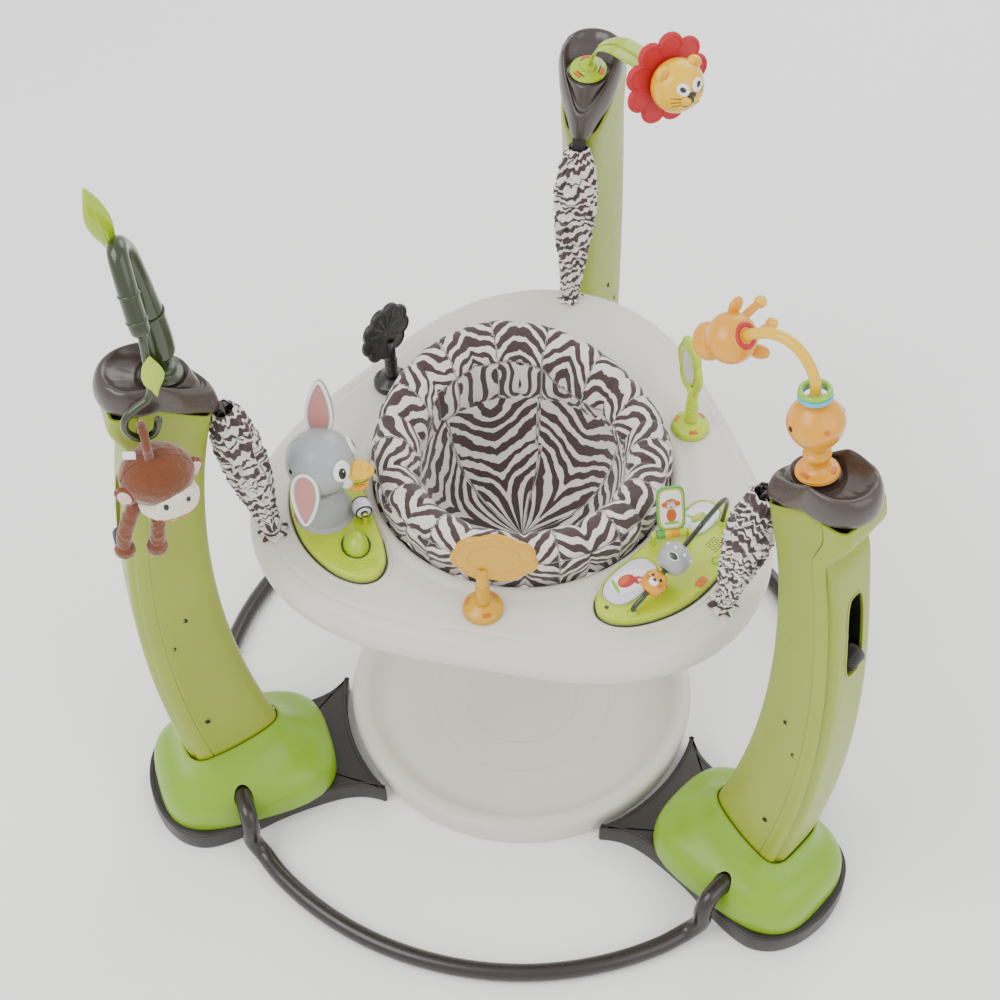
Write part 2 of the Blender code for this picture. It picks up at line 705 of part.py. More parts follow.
def make_board(frame):
    board = new_object("board_housing", station_mesh("board"), parent=frame, colour="lime")
    for name, x, y, half_x, half_y in BUTTONS:
        pocket = superellipse(x, y, half_x + 0.0006, half_y + 0.0006, 2.6, 12)
        cutter = new_object(name + "_pocket", prism_mesh("pocket", pocket, POCKET_FLOOR, 0.52),
                            parent=frame)
        combine(board, cutter, "DIFFERENCE")
        shape = superellipse(x, y, half_x, half_y, 2.6, 12)
        new_object(name, prism_mesh(name, shape, POCKET_FLOOR + 0.0025, STATION_TOP + 0.0020),
                   parent=frame, colour="white")
    mode_place = (0.2690, 0.0361, STATION_TOP - 0.001)
    mode_cut = new_object("mode_pocket", cylinder_mesh("mode_pocket", 0.0052, 0.008, 14),
                          parent=frame, location=mode_place)
    combine(board, mode_cut, "DIFFERENCE")
    new_object("mode_button", cylinder_mesh("mode_button", 0.0046, 0.0040, 14), parent=frame,
               location=(0.2690, 0.0361, STATION_TOP - 0.0005), colour="white")
    hinge = new_frame("page_frame", parent=frame, location=PAGE_HINGE,
                      rotation=(0, 0, PAGE_TURN))
    for sign, end in ((1, "a"), (-1, "b")):
        post = new_object("hinge_post_" + end, box_mesh("hinge_post", (0.006, 0.009, 0.020)),
                          parent=hinge, location=(sign * 0.0215, 0, -0.0080))
        combine(board, post, "UNION")
    pin = new_object("hinge_pin", cylinder_mesh("hinge_pin", 0.0018, 0.040, 10), parent=hinge,
                     rotation=(0, pi / 2, 0))
    combine(board, pin, "UNION")
    make_page(hinge)
    wire = rod("bead_wire_shape", WIRE, 0.0030, "dark_green", sides=1, parent=frame)
    wire = as_mesh(wire, None)
    combine(board, wire, "UNION")
    run = WIRE_HIGH - WIRE_LOW
    for name, share, radius in BEADS:
        bead = [(0.0042, radius * 0.86), (radius * 0.62, radius * 0.80), (radius, radius * 0.25),
                (radius, -radius * 0.25), (radius * 0.62, -radius * 0.80),
                (0.0042, -radius * 0.86)]
        turned(name, bead, "orange" if name == "bead_tiger" else "grey", steps=12, ring=True,
               parent=frame, location=WIRE_LOW + run * share, rotation=aim(run))


def make_page(hinge):
    """A barrel on the pin and a flat page that stands up from it, leaning back."""
    tilt = new_frame("page_tilt", parent=hinge, rotation=(PAGE_LEAN, 0, 0))
    page = turned("flip_page", [(0.0055, 0.0175), (0.0055, -0.0175), (0.0021, -0.0175),
                                (0.0021, 0.0175)], "white", steps=14, ring=True,
                  parent=tilt, rotation=(0, pi / 2, 0))
    leaf = new_object("page_leaf", box_mesh("page_leaf", (0.034, 0.056, 0.0035)), parent=tilt,
                      location=(0.0, 0.032, 0.0))
    combine(page, leaf, "UNION")


def make_stalk_toy(name, angle, base_colour, panel_colour, yaw, offset, half_width, half_height,
                   base_name, panel_name):
    """A base disc with a pin, and a flat panel that turns on it."""
    place = new_frame(name + "_frame", location=(TOY_RADIUS * cos(radians(angle)),
                                                 TOY_RADIUS * sin(radians(angle)), 0.0),
                      rotation=(0, 0, radians(angle + yaw)))
    turned(base_name, [(0.0, 0.522), (0.0030, 0.522), (0.0030, 0.4995), (0.0105, 0.4985),
                       (0.0225, 0.4925), (0.0235, TRAY_TOP + GAP), (0.0, TRAY_TOP + GAP)],
           base_colour, steps=16, parent=place)
    panel = turned(panel_name, [(0.0036, 0.545), (0.0065, 0.545), (0.0085, 0.503),
                                (0.0085, 0.5000), (0.0036, 0.5000)], panel_colour, steps=12,
                   ring=True, parent=place)
    outline = [(-v, u) for u, v in superellipse(offset, 0.0, half_width, half_height, 2.3, 14)]
    plate = new_object(panel_name + "_plate", prism_mesh("plate", outline, -0.004, 0.004),
                       parent=place, location=(0, 0, PANEL_Z), rotation=(0, pi / 2, 0))
    combine(panel, plate, "UNION")


# ---- toys on the towers ----
LEAN = radians(-9)              # the tower toys lean over the tray


def make_giraffe(frame):
    stand = new_frame("giraffe_frame", parent=frame,
                      location=(SOCKET_X, 0, SOCKET_Z + 0.001), rotation=(0, LEAN, 0))
    base = [(0.0, 0.1020), (0.0100, 0.1000), (0.0250, 0.0850), (0.0300, 0.0720),
            (0.0260, 0.0570), (0.0110, 0.0370), (0.0150, 0.0290), (0.0095, 0.0210),
            (0.0225, 0.0060), (0.0215, 0.0045), (0.0, 0.0045)]
    turned("giraffe_base", base, "orange", steps=12, parent=stand)
    rings = [(0.0170, 0.1145), (0.0190, 0.1110), (0.0165, 0.1080), (0.0190, 0.1050),
             (0.0170, 0.1024), (0.0085, 0.1024), (0.0085, 0.1145)]
    turned("giraffe_rings", rings, "blue", steps=14, ring=True, parent=stand)
    path = [(0.3860, 0, 0.8795), (0.3820, 0, 0.9020), (0.3690, 0, 0.9210), (0.3490, 0, 0.9310),
            (0.3270, 0, 0.9280), (0.3080, 0, 0.9155), (0.2990, 0, 0.9070)]
    rod("giraffe_stalk", path, 0.0058, "yellow", parent=frame)
    face = new_frame("giraffe_head_frame", parent=frame, location=(0.2985, 0, 0.9065),
                     rotation=aim((-0.70, 0, -0.58)))
    head = turned("giraffe_head", [(0.0, 0.0660), (0.0110, 0.0660), (0.0190, 0.0600),
                                   (0.0200, 0.0510), (0.0180, 0.0430), (0.0250, 0.0330),
                                   (0.0270, 0.0220), (0.0220, 0.0090), (0.0125, 0.0010),
                                   (0.0, 0.0010)], "yellow", steps=14, parent=face)
    for sign, end in ((1, "a"), (-1, "b")):
        horn = new_object("horn_" + end, cylinder_mesh("horn", 0.0040, 0.036, 8, 0.0060),
                          parent=face, location=(-0.032, sign * 0.012, 0.0120),
                          rotation=(0, radians(-95), 0))
        combine(head, horn, "UNION")


LION_PLACE = Vector((0.3350, -0.1050, 0.8350))
LION_FACING = Vector((-0.727, -0.697, 0.167)).normalized()


def make_lion(frame):
    """In the back tower's frame: +X is away from the tray and +Y is to the left."""
    turned("lion_base", [(0.0, 0.0160), (0.0090, 0.0150), (0.0105, 0.0090), (0.0225, 0.0065),
                         (0.0215, 0.0045), (0.0, 0.0045)], "lime", steps=16, parent=frame,
           location=(SOCKET_X, 0, SOCKET_Z + 0.001), rotation=(0, LEAN, 0))
    back = LION_PLACE - LION_FACING * 0.0045
    centre = [Vector((0.4010, -0.0010, 0.7950)), Vector((0.4000, -0.0120, 0.8180)),
              Vector((0.3930, -0.0330, 0.8300)), Vector((0.3820, -0.0560, 0.8290)),
              Vector((0.3690, -0.0780, 0.8250)), back - LION_FACING * 0.012,
              back]
    widths = (0.006, 0.012, 0.019, 0.020, 0.016, 0.009, 0.006)
    rings = []
    for k, (point, half) in enumerate(zip(centre, widths)):
        ahead = centre[min(k + 1, len(centre) - 1)] - centre[max(k - 1, 0)]
        side = ahead.cross(Vector((0, 0, 1))).normalized()
        thick = side.cross(ahead).normalized() * 0.0022
        rings.append([point + side * half * a + thick * b
                      for a, b in ((-1, 0), (-0.6, -1), (0.6, -1), (1, 0), (0.6, 1), (-0.6, 1))])
    new_object("lion_leaf_stalk", loft_mesh("leaf_stalk", rings), parent=frame, colour="lime")
    face = new_frame("lion_frame", parent=frame, location=LION_PLACE, rotation=aim(LION_FACING))
    lobes, count = 9, 36
    outline = []
    for i in range(count):
        a = 2 * pi * i / count
        radius = 0.0525 + 0.0055 * cos(lobes * a)
        outline.append((radius * cos(a), radius * sin(a)))
    new_object("lion_mane", prism_mesh("mane", outline, -0.0040, 0.0040), parent=face,
               colour="red")
    head = new_object("lion_head", sphere_mesh("lion_head", (0.0330, 0.0330, 0.0290), 12, 8,
                                               offset=(0, 0, 0.022)),
                      parent=face, colour="yellow")
    trim = new_object("lion_trim", box_mesh("lion_trim", (0.1, 0.1, 0.02)), parent=face,
                      location=(0, 0, 0.0040 + GAP - 0.01))
    combine(head, trim, "DIFFERENCE")


def make_vine(frame):
    """Left tower: a post that arches forward, a ring that hangs from it, and a monkey."""
    cup = [(0.0, 0.0170), (0.0120, 0.0160), (0.0150, 0.0090), (0.0225, 0.0065),
           (0.0215, 0.0045), (0.0, 0.0045)]
    path = [(0.4000, 0, 0.7860), (0.3990, 0, 0.8030), (0.3995, 0, 0.8120), (0.4010, 0, 0.8450),
            (0.4050, 0, 0.8850), (0.4095, 0.0010, 0.9250), (0.4150, 0.0080, 0.9620),
            (0.4220, 0.0220, 0.9850), (0.4255, 0.0380, 0.9880), (0.4250, 0.0520, 0.9700),
            (0.4230, 0.0640, 0.9420), (0.4205, 0.0740, 0.9170), (0.4200, 0.0755, 0.9130)]
    taper = [0.8, 0.9, 1.65, 1.6, 1.4, 1.2, 1.1, 1.05, 1.05, 1.05, 1.05, 1.0, 0.6]
    post = rod("vine_post", path, 0.0100, "dark_green", sides=1, parent=frame, taper=taper)
    post = as_mesh(post, "dark_green")
    cup_shape = turned("vine_cup", cup, None, steps=12, parent=frame,
                       location=(SOCKET_X, 0, SOCKET_Z + 0.001), rotation=(0, LEAN, 0))
    combine(post, cup_shape, "UNION")
    leaf = new_object("top_leaf_shape", sphere_mesh("top_leaf", (0.0130, 0.0030, 0.0480), 6, 6),
                      parent=frame, location=(0.4350, 0.0040, 1.0020),
                      rotation=(0, radians(10), 0))
    combine(post, leaf, "UNION")
    ring_place = new_frame("hook_frame", parent=frame, location=(0.4200, 0.0750, 0.9065))
    strand = [(0, 0, -0.0022), (0.0005, 0.002, -0.0300), (0.0010, 0.004, -0.0600),
              (0.0060, 0.0060, -0.0780), (0.0200, 0.0080, -0.0860), (0.0330, 0.0090, -0.0980),
              (0.0340, 0.0095, -0.1150), (0.0210, 0.0100, -0.1280), (0.0060, 0.0100, -0.1240),
              (0.0000, 0.0090, -0.1080)]
    hook = rod("hook_ring", strand, 0.0042, "dark_green", sides=1, parent=ring_place)
    hook = as_mesh(hook, "dark_green")
    paddle = new_object("paddle_leaf", sphere_mesh("paddle", (0.0120, 0.0028, 0.0280), 6, 5),
                        parent=ring_place, location=(-0.0030, 0.0060, -0.0480))
    combine(hook, paddle, "UNION")
    monkey_place = new_frame("monkey_frame", parent=frame, location=(0.4380, 0.0850, 0.7785))
    monkey = new_object("plush_monkey", sphere_mesh("monkey", (0.0430, 0.0350, 0.0450), 12, 8),
                        parent=monkey_place, location=(-0.0060, 0.0090, -0.0585),
                        colour="plush")
    limbs = (([(0.020, 0.010, -0.075), (0.038, 0.012, -0.120), (0.044, 0.012, -0.155)], 0.0105),
             ([(-0.004, 0.012, -0.085), (0.004, 0.014, -0.125), (0.010, 0.014, -0.160)], 0.0105),
             ([(0, -0.012, -0.0260), (0, -0.0140, -0.0020), (0, -0.0075, 0.0110),
               (0, 0.0075, 0.0110), (0, 0.0140, -0.0020), (0, 0.012, -0.0260)], 0.0052))
    for k, (points, radius) in enumerate(limbs):
        limb = rod("limb_%d" % k, points, radius, "plush", sides=1, parent=monkey_place)
        combine(monkey, as_mesh(limb, None), "UNION")


# ---- assembly ----
clear_scene()
PART = new_collection("activity_jumper")
CUTTERS = new_collection("cutters")
FRAMES = {}
make_pad()
for tower, heading in TOWERS.items():
    FRAMES[tower] = new_frame("tower_frame_" + tower, rotation=(0, 0, radians(heading)))
    make_base_plate(tower, FRAMES[tower])
    make_foot_cover(tower, FRAMES[tower])
    make_tower_shells(tower, FRAMES[tower])
    make_cap(tower, FRAMES[tower])
    make_adjuster(tower, FRAMES[tower])
    make_sleeve_and_spring(tower, FRAMES[tower])
for tube_name, heading in (("base_tube_front", 270), ("base_tube_right", 30),
                           ("base_tube_left", 150)):
    make_base_tube(tube_name, heading)
make_tray()
make_seat()
make_elephant(FRAMES["left"])
make_board(FRAMES["right"])
make_stalk_toy("spinner", 270, "yellow", "yellow", 8, 0.014, 0.050, 0.043,
               "spinner_base", "spinner_panel")
make_stalk_toy("black_toy", 150, "black", "black", 0, 0.006, 0.040, 0.043,
               "black_toy_base", "black_toy_panel")
make_stalk_toy("mirror", 30, "lime", "lime", 0, 0.014, 0.034, 0.043,
               "mirror_base", "mirror_panel")
make_giraffe(FRAMES["right"])
make_lion(FRAMES["back"])
make_vine(FRAMES["left"])
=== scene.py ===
"""Looks of the activity jumper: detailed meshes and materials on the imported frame."""
from math import asin, atan2, cos, exp, pi, radians, sin

import bmesh
import bpy
from mathutils import Matrix, Vector, noise


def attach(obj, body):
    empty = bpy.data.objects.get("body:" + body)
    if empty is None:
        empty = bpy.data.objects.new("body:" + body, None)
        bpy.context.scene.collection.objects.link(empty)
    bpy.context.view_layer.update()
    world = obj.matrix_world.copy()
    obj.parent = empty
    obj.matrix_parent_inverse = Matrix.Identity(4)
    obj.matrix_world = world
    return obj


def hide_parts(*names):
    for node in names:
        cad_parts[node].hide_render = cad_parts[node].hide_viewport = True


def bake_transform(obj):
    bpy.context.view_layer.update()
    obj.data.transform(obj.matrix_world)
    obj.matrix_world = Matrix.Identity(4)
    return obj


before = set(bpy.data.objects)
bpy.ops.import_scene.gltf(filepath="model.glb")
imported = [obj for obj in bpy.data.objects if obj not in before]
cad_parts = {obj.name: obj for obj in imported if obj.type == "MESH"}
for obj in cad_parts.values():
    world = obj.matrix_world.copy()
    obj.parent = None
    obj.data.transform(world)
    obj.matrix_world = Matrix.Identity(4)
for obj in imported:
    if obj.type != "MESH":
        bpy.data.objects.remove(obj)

for leftover in ("Cube", "Light", "Camera"):   # Blender's start-up objects
    if leftover in bpy.data.objects:
        bpy.data.objects.remove(bpy.data.objects[leftover], do_unlink=True)
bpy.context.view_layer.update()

# ---- shared dimensions, metres, in the CAD frame ----
TOWERS = {"back": 90.0, "left": 210.0, "right": 330.0}   # direction of each tower, degrees
PLATE_TOP = 0.030
FOOT_CENTRE, FOOT_HALF_LENGTH, FOOT_HALF_WIDTH, FOOT_POWER = 0.388, 0.117, 0.090, 3.2
TUBE_RADIUS = 0.0115
TUBE_ENTRY_Z = 0.072
RIM_Z, NOSE_Z, NOSE_X = 0.762, 0.712, 0.354
CAP_TOP = 0.798
SOCKET_X, SOCKET_Z = 0.402, 0.7765
SLOT_Z = (0.512, 0.636)
KNOB_Z = 0.534
TRAY_RADIUS, TRAY_WAVE = 0.303, 0.031
TRAY_BOTTOM, TRAY_TOP = 0.435, 0.484
HOLE_RADIUS, LEDGE_Z = 0.180, 0.4525
SEAT_FRONT = radians(305)
STATION_TOP = 0.4965
TOY_RADIUS = 0.218
LEAN = radians(-9)


# ---- small maths ----
def smoothstep(value):
    value = min(max(value, 0.0), 1.0)
    return value * value * (3 - 2 * value)


def bump(value, width):
    return exp(-(value / width) ** 2)


def spline(points, steps, closed=False):
    """A Catmull-Rom curve through points of any dimension."""
    points = [Vector(p) for p in points]
    count = len(points)
    result = []
    for i in range(count if closed else count - 1):
        near = [i - 1, i, i + 1, i + 2]
        near = [k % count for k in near] if closed else [min(max(k, 0), count - 1) for k in near]
        p0, p1, p2, p3 = (points[k] for k in near)
        for s in range(steps):
            t = s / steps
            result.append(0.5 * ((2 * p1) + (p2 - p0) * t + (2 * p0 - 5 * p1 + 4 * p2 - p3) * t * t
                                 + (3 * p1 - p0 - 3 * p2 + p3) * t ** 3))
    if not closed:
        result.append(points[-1])
    return result


def mirrored(half):
    """A closed outline from its half with y >= 0, whose two ends lie on the X axis."""
    return half + [(x, -y) for x, y in reversed(half[1:-1])]


def superellipse(cx, cy, half_x, half_y, power, count):
    points = []
    for i in range(count):
        a = 2 * pi * i / count
        x = abs(cos(a)) ** (2 / power) * half_x * (1 if cos(a) >= 0 else -1)
        y = abs(sin(a)) ** (2 / power) * half_y * (1 if sin(a) >= 0 else -1)
        points.append(Vector((cx + x, cy + y)))
    return points


def moved_outline(outline, amount):
    """The outline with each point moved outward along its normal."""
    points = [Vector(p) for p in outline]
    area = sum(points[i - 1].cross(p) for i, p in enumerate(points))
    amount = amount if area > 0 else -amount
    result = []
    for i, point in enumerate(points):
        along = points[(i + 1) % len(points)] - points[i - 1]
        if along.length > 0:
            along.normalize()
        result.append(point + Vector((along.y, -along.x)) * amount)
    return result


def turn(side):
    return Matrix.Rotation(radians(TOWERS[side]), 4, "Z")


def at(location, direction=None, spin=0.0):
    """A placement whose Z axis points along the direction."""
    place = Matrix.Translation(Vector(location))
    if direction is not None:
        place = place @ Vector(direction).to_track_quat("Z", "Y").to_matrix().to_4x4()
    return place @ Matrix.Rotation(spin, 4, "Z")


# ---- mesh building ----
def add(name, data, place=None):
    if place is not None:
        data.transform(place)
    obj = bpy.data.objects.new(name, data)
    bpy.context.scene.collection.objects.link(obj)
    return obj


def finish_mesh(name, bm, place=None):
    bmesh.ops.recalc_face_normals(bm, faces=bm.faces)
    mesh = bpy.data.meshes.new(name)
    bm.to_mesh(mesh)
    bm.free()
    mesh.shade_smooth()
    return add(name, mesh, place)


def skin(name, rings, caps=(True, True), closed_path=False, open_rings=False, place=None):
    """A surface over rings of points, with each open end closed by a fan round its middle."""
    bm = bmesh.new()
    rows = [[bm.verts.new(p) for p in ring] for ring in rings]
    count = len(rows[0])
    pairs = list(zip(rows, rows[1:]))
    if closed_path:
        pairs.append((rows[-1], rows[0]))
    for low, high in pairs:
        for i in range(count - 1 if open_rings else count):
            j = (i + 1) % count
            bm.faces.new((low[i], low[j], high[j], high[i]))
    if not closed_path and not open_rings:
        for wanted, row in zip(caps, (rows[0], rows[-1])):
            if wanted:
                middle = bm.verts.new(sum((v.co for v in row), Vector()) / count)
                for i in range(count):
                    bm.faces.new((row[i], row[(i + 1) % count], middle))
    return finish_mesh(name, bm, place)


def lathe(name, profile, steps=64, place=None, closed=False, rounds=4):
    """A turned shape; the (radius, z) profile is smoothed, and ends on the axis are closed."""
    line = spline(profile, rounds, closed) if rounds > 1 else [Vector(p) for p in profile]
    rings = []
    for radius, z in line:
        radius = max(radius, 0.00002)
        rings.append([(radius * cos(2 * pi * i / steps), radius * sin(2 * pi * i / steps), z)
                      for i in range(steps)])
    return skin(name, rings, closed_path=closed, place=place)


def plate(name, outline, bottom, top, edge=0.0015, dome=0.0, place=None):
    """A flat piece over a closed outline, with rounded edges and a slightly domed top."""
    edge = min(edge, (top - bottom) / 2)
    rings = []
    for k in range(5):
        a = pi / 2 * k / 4
        ring = moved_outline(outline, -edge * (1 - sin(a)))
        rings.append([(p.x, p.y, bottom + edge * (1 - cos(a))) for p in ring])
    for k in range(5):
        a = pi / 2 * k / 4
        ring = moved_outline(outline, -edge * (1 - cos(a)))
        rings.append([(p.x, p.y, top - edge * (1 - sin(a))) for p in ring])
    inner = moved_outline(outline, -edge)
    middle = sum(inner, Vector((0, 0))) / len(inner)
    for share in (0.93, 0.8, 0.6, 0.35, 0.12):
        rings.append([(*middle.lerp(p, share), top + dome * (1 - share * share)) for p in inner])
    return skin(name, rings, place=place)


def hoop(name, outline, width, bottom, height, place=None, sides=12):
    """A rounded bead laid along a closed (x, y) outline."""
    rings = []
    for k in range(sides):
        a = 2 * pi * k / sides
        ring = moved_outline(outline, cos(a) * width / 2)
        rings.append([(p.x, p.y, bottom + height / 2 + sin(a) * height / 2) for p in ring])
    return skin(name, rings, closed_path=True, place=place)


def tube(name, points, radius, place=None, closed=False, sides=12, steps=6):
    """A round bar through the points; a fourth number in a point scales its radius."""
    line = spline([(*p, 1.0) if len(p) == 3 else p for p in points], steps, closed)
    centres = [p.to_3d() for p in line]
    count = len(centres)
    rings = []
    across = None
    for i, centre in enumerate(centres):
        ahead = centres[(i + 1) % count] if closed or i < count - 1 else centre
        behind = centres[i - 1] if closed or i > 0 else centre
        along = (ahead - behind).normalized()
        if across is None:
            across = along.orthogonal().normalized()
        across = (across - along * across.dot(along)).normalized()
        other = along.cross(across)
        size = radius * line[i][3]
        rings.append([centre + (across * cos(2 * pi * k / sides) + other * sin(2 * pi * k / sides))
                      * size for k in range(sides)])
    if not closed:
        for end, inner in ((0, 1), (-1, -2)):
            out = (centres[end] - centres[inner]).normalized() * radius * line[end][3]
            rounded = [[centres[end] + (Vector(p) - centres[end]) * cos(a) + out * sin(a)
                        for p in rings[end]] for a in (0.5, 1.0, 1.35)]
            rings = list(reversed(rounded)) + rings if end == 0 else rings + rounded
    return skin(name, rings, closed_path=closed, place=place)


def ball(name, radii, place=None, steps=40):
    bm = bmesh.new()
    bmesh.ops.create_uvsphere(bm, u_segments=steps, v_segments=steps // 2, radius=1.0)
    bmesh.ops.scale(bm, vec=radii, verts=bm.verts)
    return finish_mesh(name, bm, place)


def ribbon(name, points, half_width, thickness, side, place=None, steps=6, fold=0.0):
    """A flat band through the points; side gives its width's direction at each point."""
    line = spline(points, steps)
    sides = spline(side, steps)
    rings = []
    for i, centre in enumerate(line):
        along = (line[min(i + 1, len(line) - 1)] - line[max(i - 1, 0)]).normalized()
        across = sides[i] - along * sides[i].dot(along)
        reach = across.length
        across.normalize()
        up = along.cross(across)
        ring = []
        for k in range(16):
            a = 2 * pi * k / 16
            u = cos(a) * half_width * reach
            w = sin(a) * thickness / 2 + fold * (1 - cos(a) ** 2) * thickness
            ring.append(centre + across * u + up * w)
        rings.append(ring)
    return skin(name, rings, place=place)


def modifier(obj, kind, **settings):
    made = obj.modifiers.new(kind.lower(), kind)
    for name, value in settings.items():
        setattr(made, name, value)
    return made


def subdivide(obj, levels=1):
    modifier(obj, "SUBSURF", levels=levels, render_levels=levels)


def apply_modifiers(obj):
    graph = bpy.context.evaluated_depsgraph_get()
    mesh = bpy.data.meshes.new_from_object(obj.evaluated_get(graph))
    obj.modifiers.clear()
    obj.data = mesh


def cut(obj, cutter):
    """Takes the cutter's shape out of the object, and removes the cutter."""
    modifier(obj, "BOOLEAN", operation="DIFFERENCE", object=cutter, solver="EXACT")
    bpy.context.view_layer.update()
    apply_modifiers(obj)
    bpy.data.objects.remove(cutter, do_unlink=True)
    obj.data.shade_smooth()
    obj.data.set_sharp_from_angle(angle=radians(40))


def dress(obj, material, body, replaces=()):
    """Gives the piece its material, and the body that it rides on."""
    obj.data.materials.clear()
    obj.data.materials.append(material)
    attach(obj, body)
    if replaces:
        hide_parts(*replaces)
    return obj


# ---- materials ----
def srgb(red, green, blue):
    """Linear colour from 0-255 display values."""
    def linear(value):
        value /= 255.0
        return value / 12.92 if value <= 0.04045 else ((value + 0.055) / 1.055) ** 2.4
    return (linear(red), linear(green), linear(blue), 1.0)


def scaled(colour, amount):
    return tuple(min(c * amount, 1.0) for c in colour[:3]) + (1.0,)


class Look:
    """A material being built, with coordinates in metres at rest."""

    def __init__(self, name, attribute=None, **values):
        self.material = bpy.data.materials.new(name)
        self.material.use_nodes = True
        self.tree = self.material.node_tree
        self.shader = self.tree.nodes["Principled BSDF"]
        for socket, value in values.items():
            self.shader.inputs[socket.replace("_", " ")].default_value = value
        if attribute:
            source = self.tree.nodes.new("ShaderNodeAttribute")
            source.attribute_name = attribute
            self.place = source.outputs["Vector"]
        else:
            self.place = self.tree.nodes.new("ShaderNodeTexCoord").outputs["Object"]

    def node(self, kind, links, output=0, **settings):
        """Adds a node; links maps input names or numbers to sockets or values."""
        made = self.tree.nodes.new("ShaderNode" + kind)
        for name, value in settings.items():
            setattr(made, name, value)
        for key, value in links.items():
            if isinstance(value, bpy.types.NodeSocket):
                self.tree.links.new(value, made.inputs[key])
            else:
                made.inputs[key].default_value = value
        return made.outputs[output]

    def noise(self, scale, detail=2.0, distortion=0.0):
        return self.node("TexNoise", {"Vector": self.place, "Scale": scale, "Detail": detail,
                                      "Distortion": distortion})

    def math(self, operation, first, second=0.0):
        return self.node("Math", {0: first, 1: second}, operation=operation)

    def span(self, value, low, high, to_low, to_high):
        return self.node("MapRange", {0: value, 1: low, 2: high, 3: to_low, 4: to_high})

    def mix(self, factor, first, second):
        return self.node("Mix", {0: factor, 6: first, 7: second}, output=2, data_type="RGBA")

    def use(self, socket, value):
        self.tree.links.new(value, self.shader.inputs[socket])

    def relief(self, *layers):
        """Stacks bump layers of (height, depth in metres)."""
        normal = None
        for height, depth in layers:
            links = {"Height": height, "Distance": depth, "Strength": 1.0}
            if normal is not None:
                links["Normal"] = normal
            normal = self.node("Bump", links)
        self.use("Normal", normal)


def plastic(name, colour, rough=0.36, coat=0.15, grain=0.00003, depth=0.08):
    """Moulded plastic: a faint mottle, uneven gloss, and a fine spark-eroded grain."""
    look = Look(name, Coat_Weight=coat, Coat_Roughness=0.18)
    cloud = look.noise(11, 3)
    look.use("Base Color", look.mix(cloud, scaled(colour, 1 - depth), scaled(colour, 1 + depth)))
    look.use("Roughness", look.span(look.noise(45, 4), 0.3, 0.7, rough - 0.05, rough + 0.06))
    look.relief((look.noise(22, 1), 0.00035), (look.noise(1500, 2), grain))
    return look.material


def fabric_weave(look, threads=900.0):
    """Crossed threads, in the cloth's own coordinates."""
    split = look.tree.nodes.new("ShaderNodeSeparateXYZ")
    look.tree.links.new(look.place, split.inputs[0])
    over = look.math("SINE", look.math("MULTIPLY", split.outputs["X"], threads * 2))
    under = look.math("SINE", look.math("MULTIPLY", split.outputs["Y"], threads * 2))
    return look.math("MULTIPLY", over, under)


def zebra_cloth(name, period, slant, warp, dark, light):
    """Printed stripes that wander, fork and taper; x is mirrored at the seams, y runs down."""
    look = Look(name, attribute="cloth", Roughness=0.88, Sheen_Weight=0.25, Sheen_Roughness=0.5)
    split = look.tree.nodes.new("ShaderNodeSeparateXYZ")
    look.tree.links.new(look.place, split.inputs[0])
    drift = look.math("MULTIPLY", look.math("SUBTRACT", look.noise(20, 1), 0.5), warp)
    ripple = look.math("MULTIPLY", look.math("SUBTRACT", look.noise(75, 2), 0.5), warp * 0.22)
    along = look.math("ADD", look.math("MULTIPLY", split.outputs["X"], slant), split.outputs["Y"])
    along = look.math("ADD", look.math("ADD", along, drift), ripple)
    wave = look.math("SINE", look.math("MULTIPLY", along, 2 * pi / period))
    width = look.math("MULTIPLY", look.math("SUBTRACT", look.noise(32, 1), 0.5), 2.2)
    stripe = look.span(look.math("ADD", wave, width), -0.10, 0.10, 0.0, 1.0)
    faded = look.mix(look.noise(300, 3), scaled(dark, 0.8), scaled(dark, 1.25))
    clean = look.mix(look.noise(60, 3), scaled(light, 0.92), light)
    look.use("Base Color", look.mix(stripe, clean, faded))
    look.relief((look.noise(50, 3), 0.0012), (fabric_weave(look), 0.00012))
    return look.material


def plush_cloth(name, colour):
    look = Look(name, Roughness=0.95, Sheen_Weight=0.6, Sheen_Roughness=0.45)
    pile = look.noise(420, 4, 0.6)
    patch = look.noise(60, 2)
    # Painted shade and light: the pile noise that raises the bump also darkens the colour where the pile is low
    # and lightens it where it is high.
    base = look.mix(pile, scaled(colour, 0.55), scaled(colour, 1.35))
    look.use("Base Color", look.mix(patch, base, scaled(colour, 0.85)))
    look.relief((look.noise(160, 3), 0.0012), (pile, 0.0007))
    return look.material


def webbing_cloth(name, colour):
    look = Look(name, Roughness=0.8, Sheen_Weight=0.2)
    rib_relief_and_shade = look.node("TexWave", {"Vector": look.place, "Scale": 160.0, "Distortion": 0.4},
                     output=1, bands_direction="Z")
    # Painted shade and light: the colour is darker in the rib valleys and lighter on the crests, following the
    # same wave as the bump.
    look.use("Base Color", look.mix(rib_relief_and_shade, scaled(colour, 0.6), scaled(colour, 1.5)))
    look.relief((rib_relief_and_shade, 0.0003), (look.noise(1200, 2), 0.0001))
    return look.material


GREEN = plastic("green_shell", srgb(140, 154, 34), rough=0.40, coat=0.10)
GREEN_LIGHT = plastic("green_outer", srgb(143, 157, 37), rough=0.38, coat=0.10)
GREEN_FOOT = plastic("green_foot", srgb(124, 164, 14), rough=0.36, coat=0.15)
DARK = plastic("dark_base", srgb(34, 27, 25), rough=0.42, coat=0.1, depth=0.15)
TUBE_DARK = plastic("dark_tube", srgb(36, 26, 24), rough=0.28, coat=0.3, depth=0.15)
CAP_BROWN = plastic("cap_brown", srgb(62, 51, 47), rough=0.26, coat=0.3, depth=0.10)
CREAM = plastic("cream_shell", srgb(216, 211, 200), rough=0.42, coat=0.08, depth=0.025)
LIME = plastic("lime_shell", srgb(180, 200, 20), rough=0.28, coat=0.3)
LIME_DEEP = plastic("lime_deep", srgb(160, 190, 8), rough=0.22, coat=0.5)
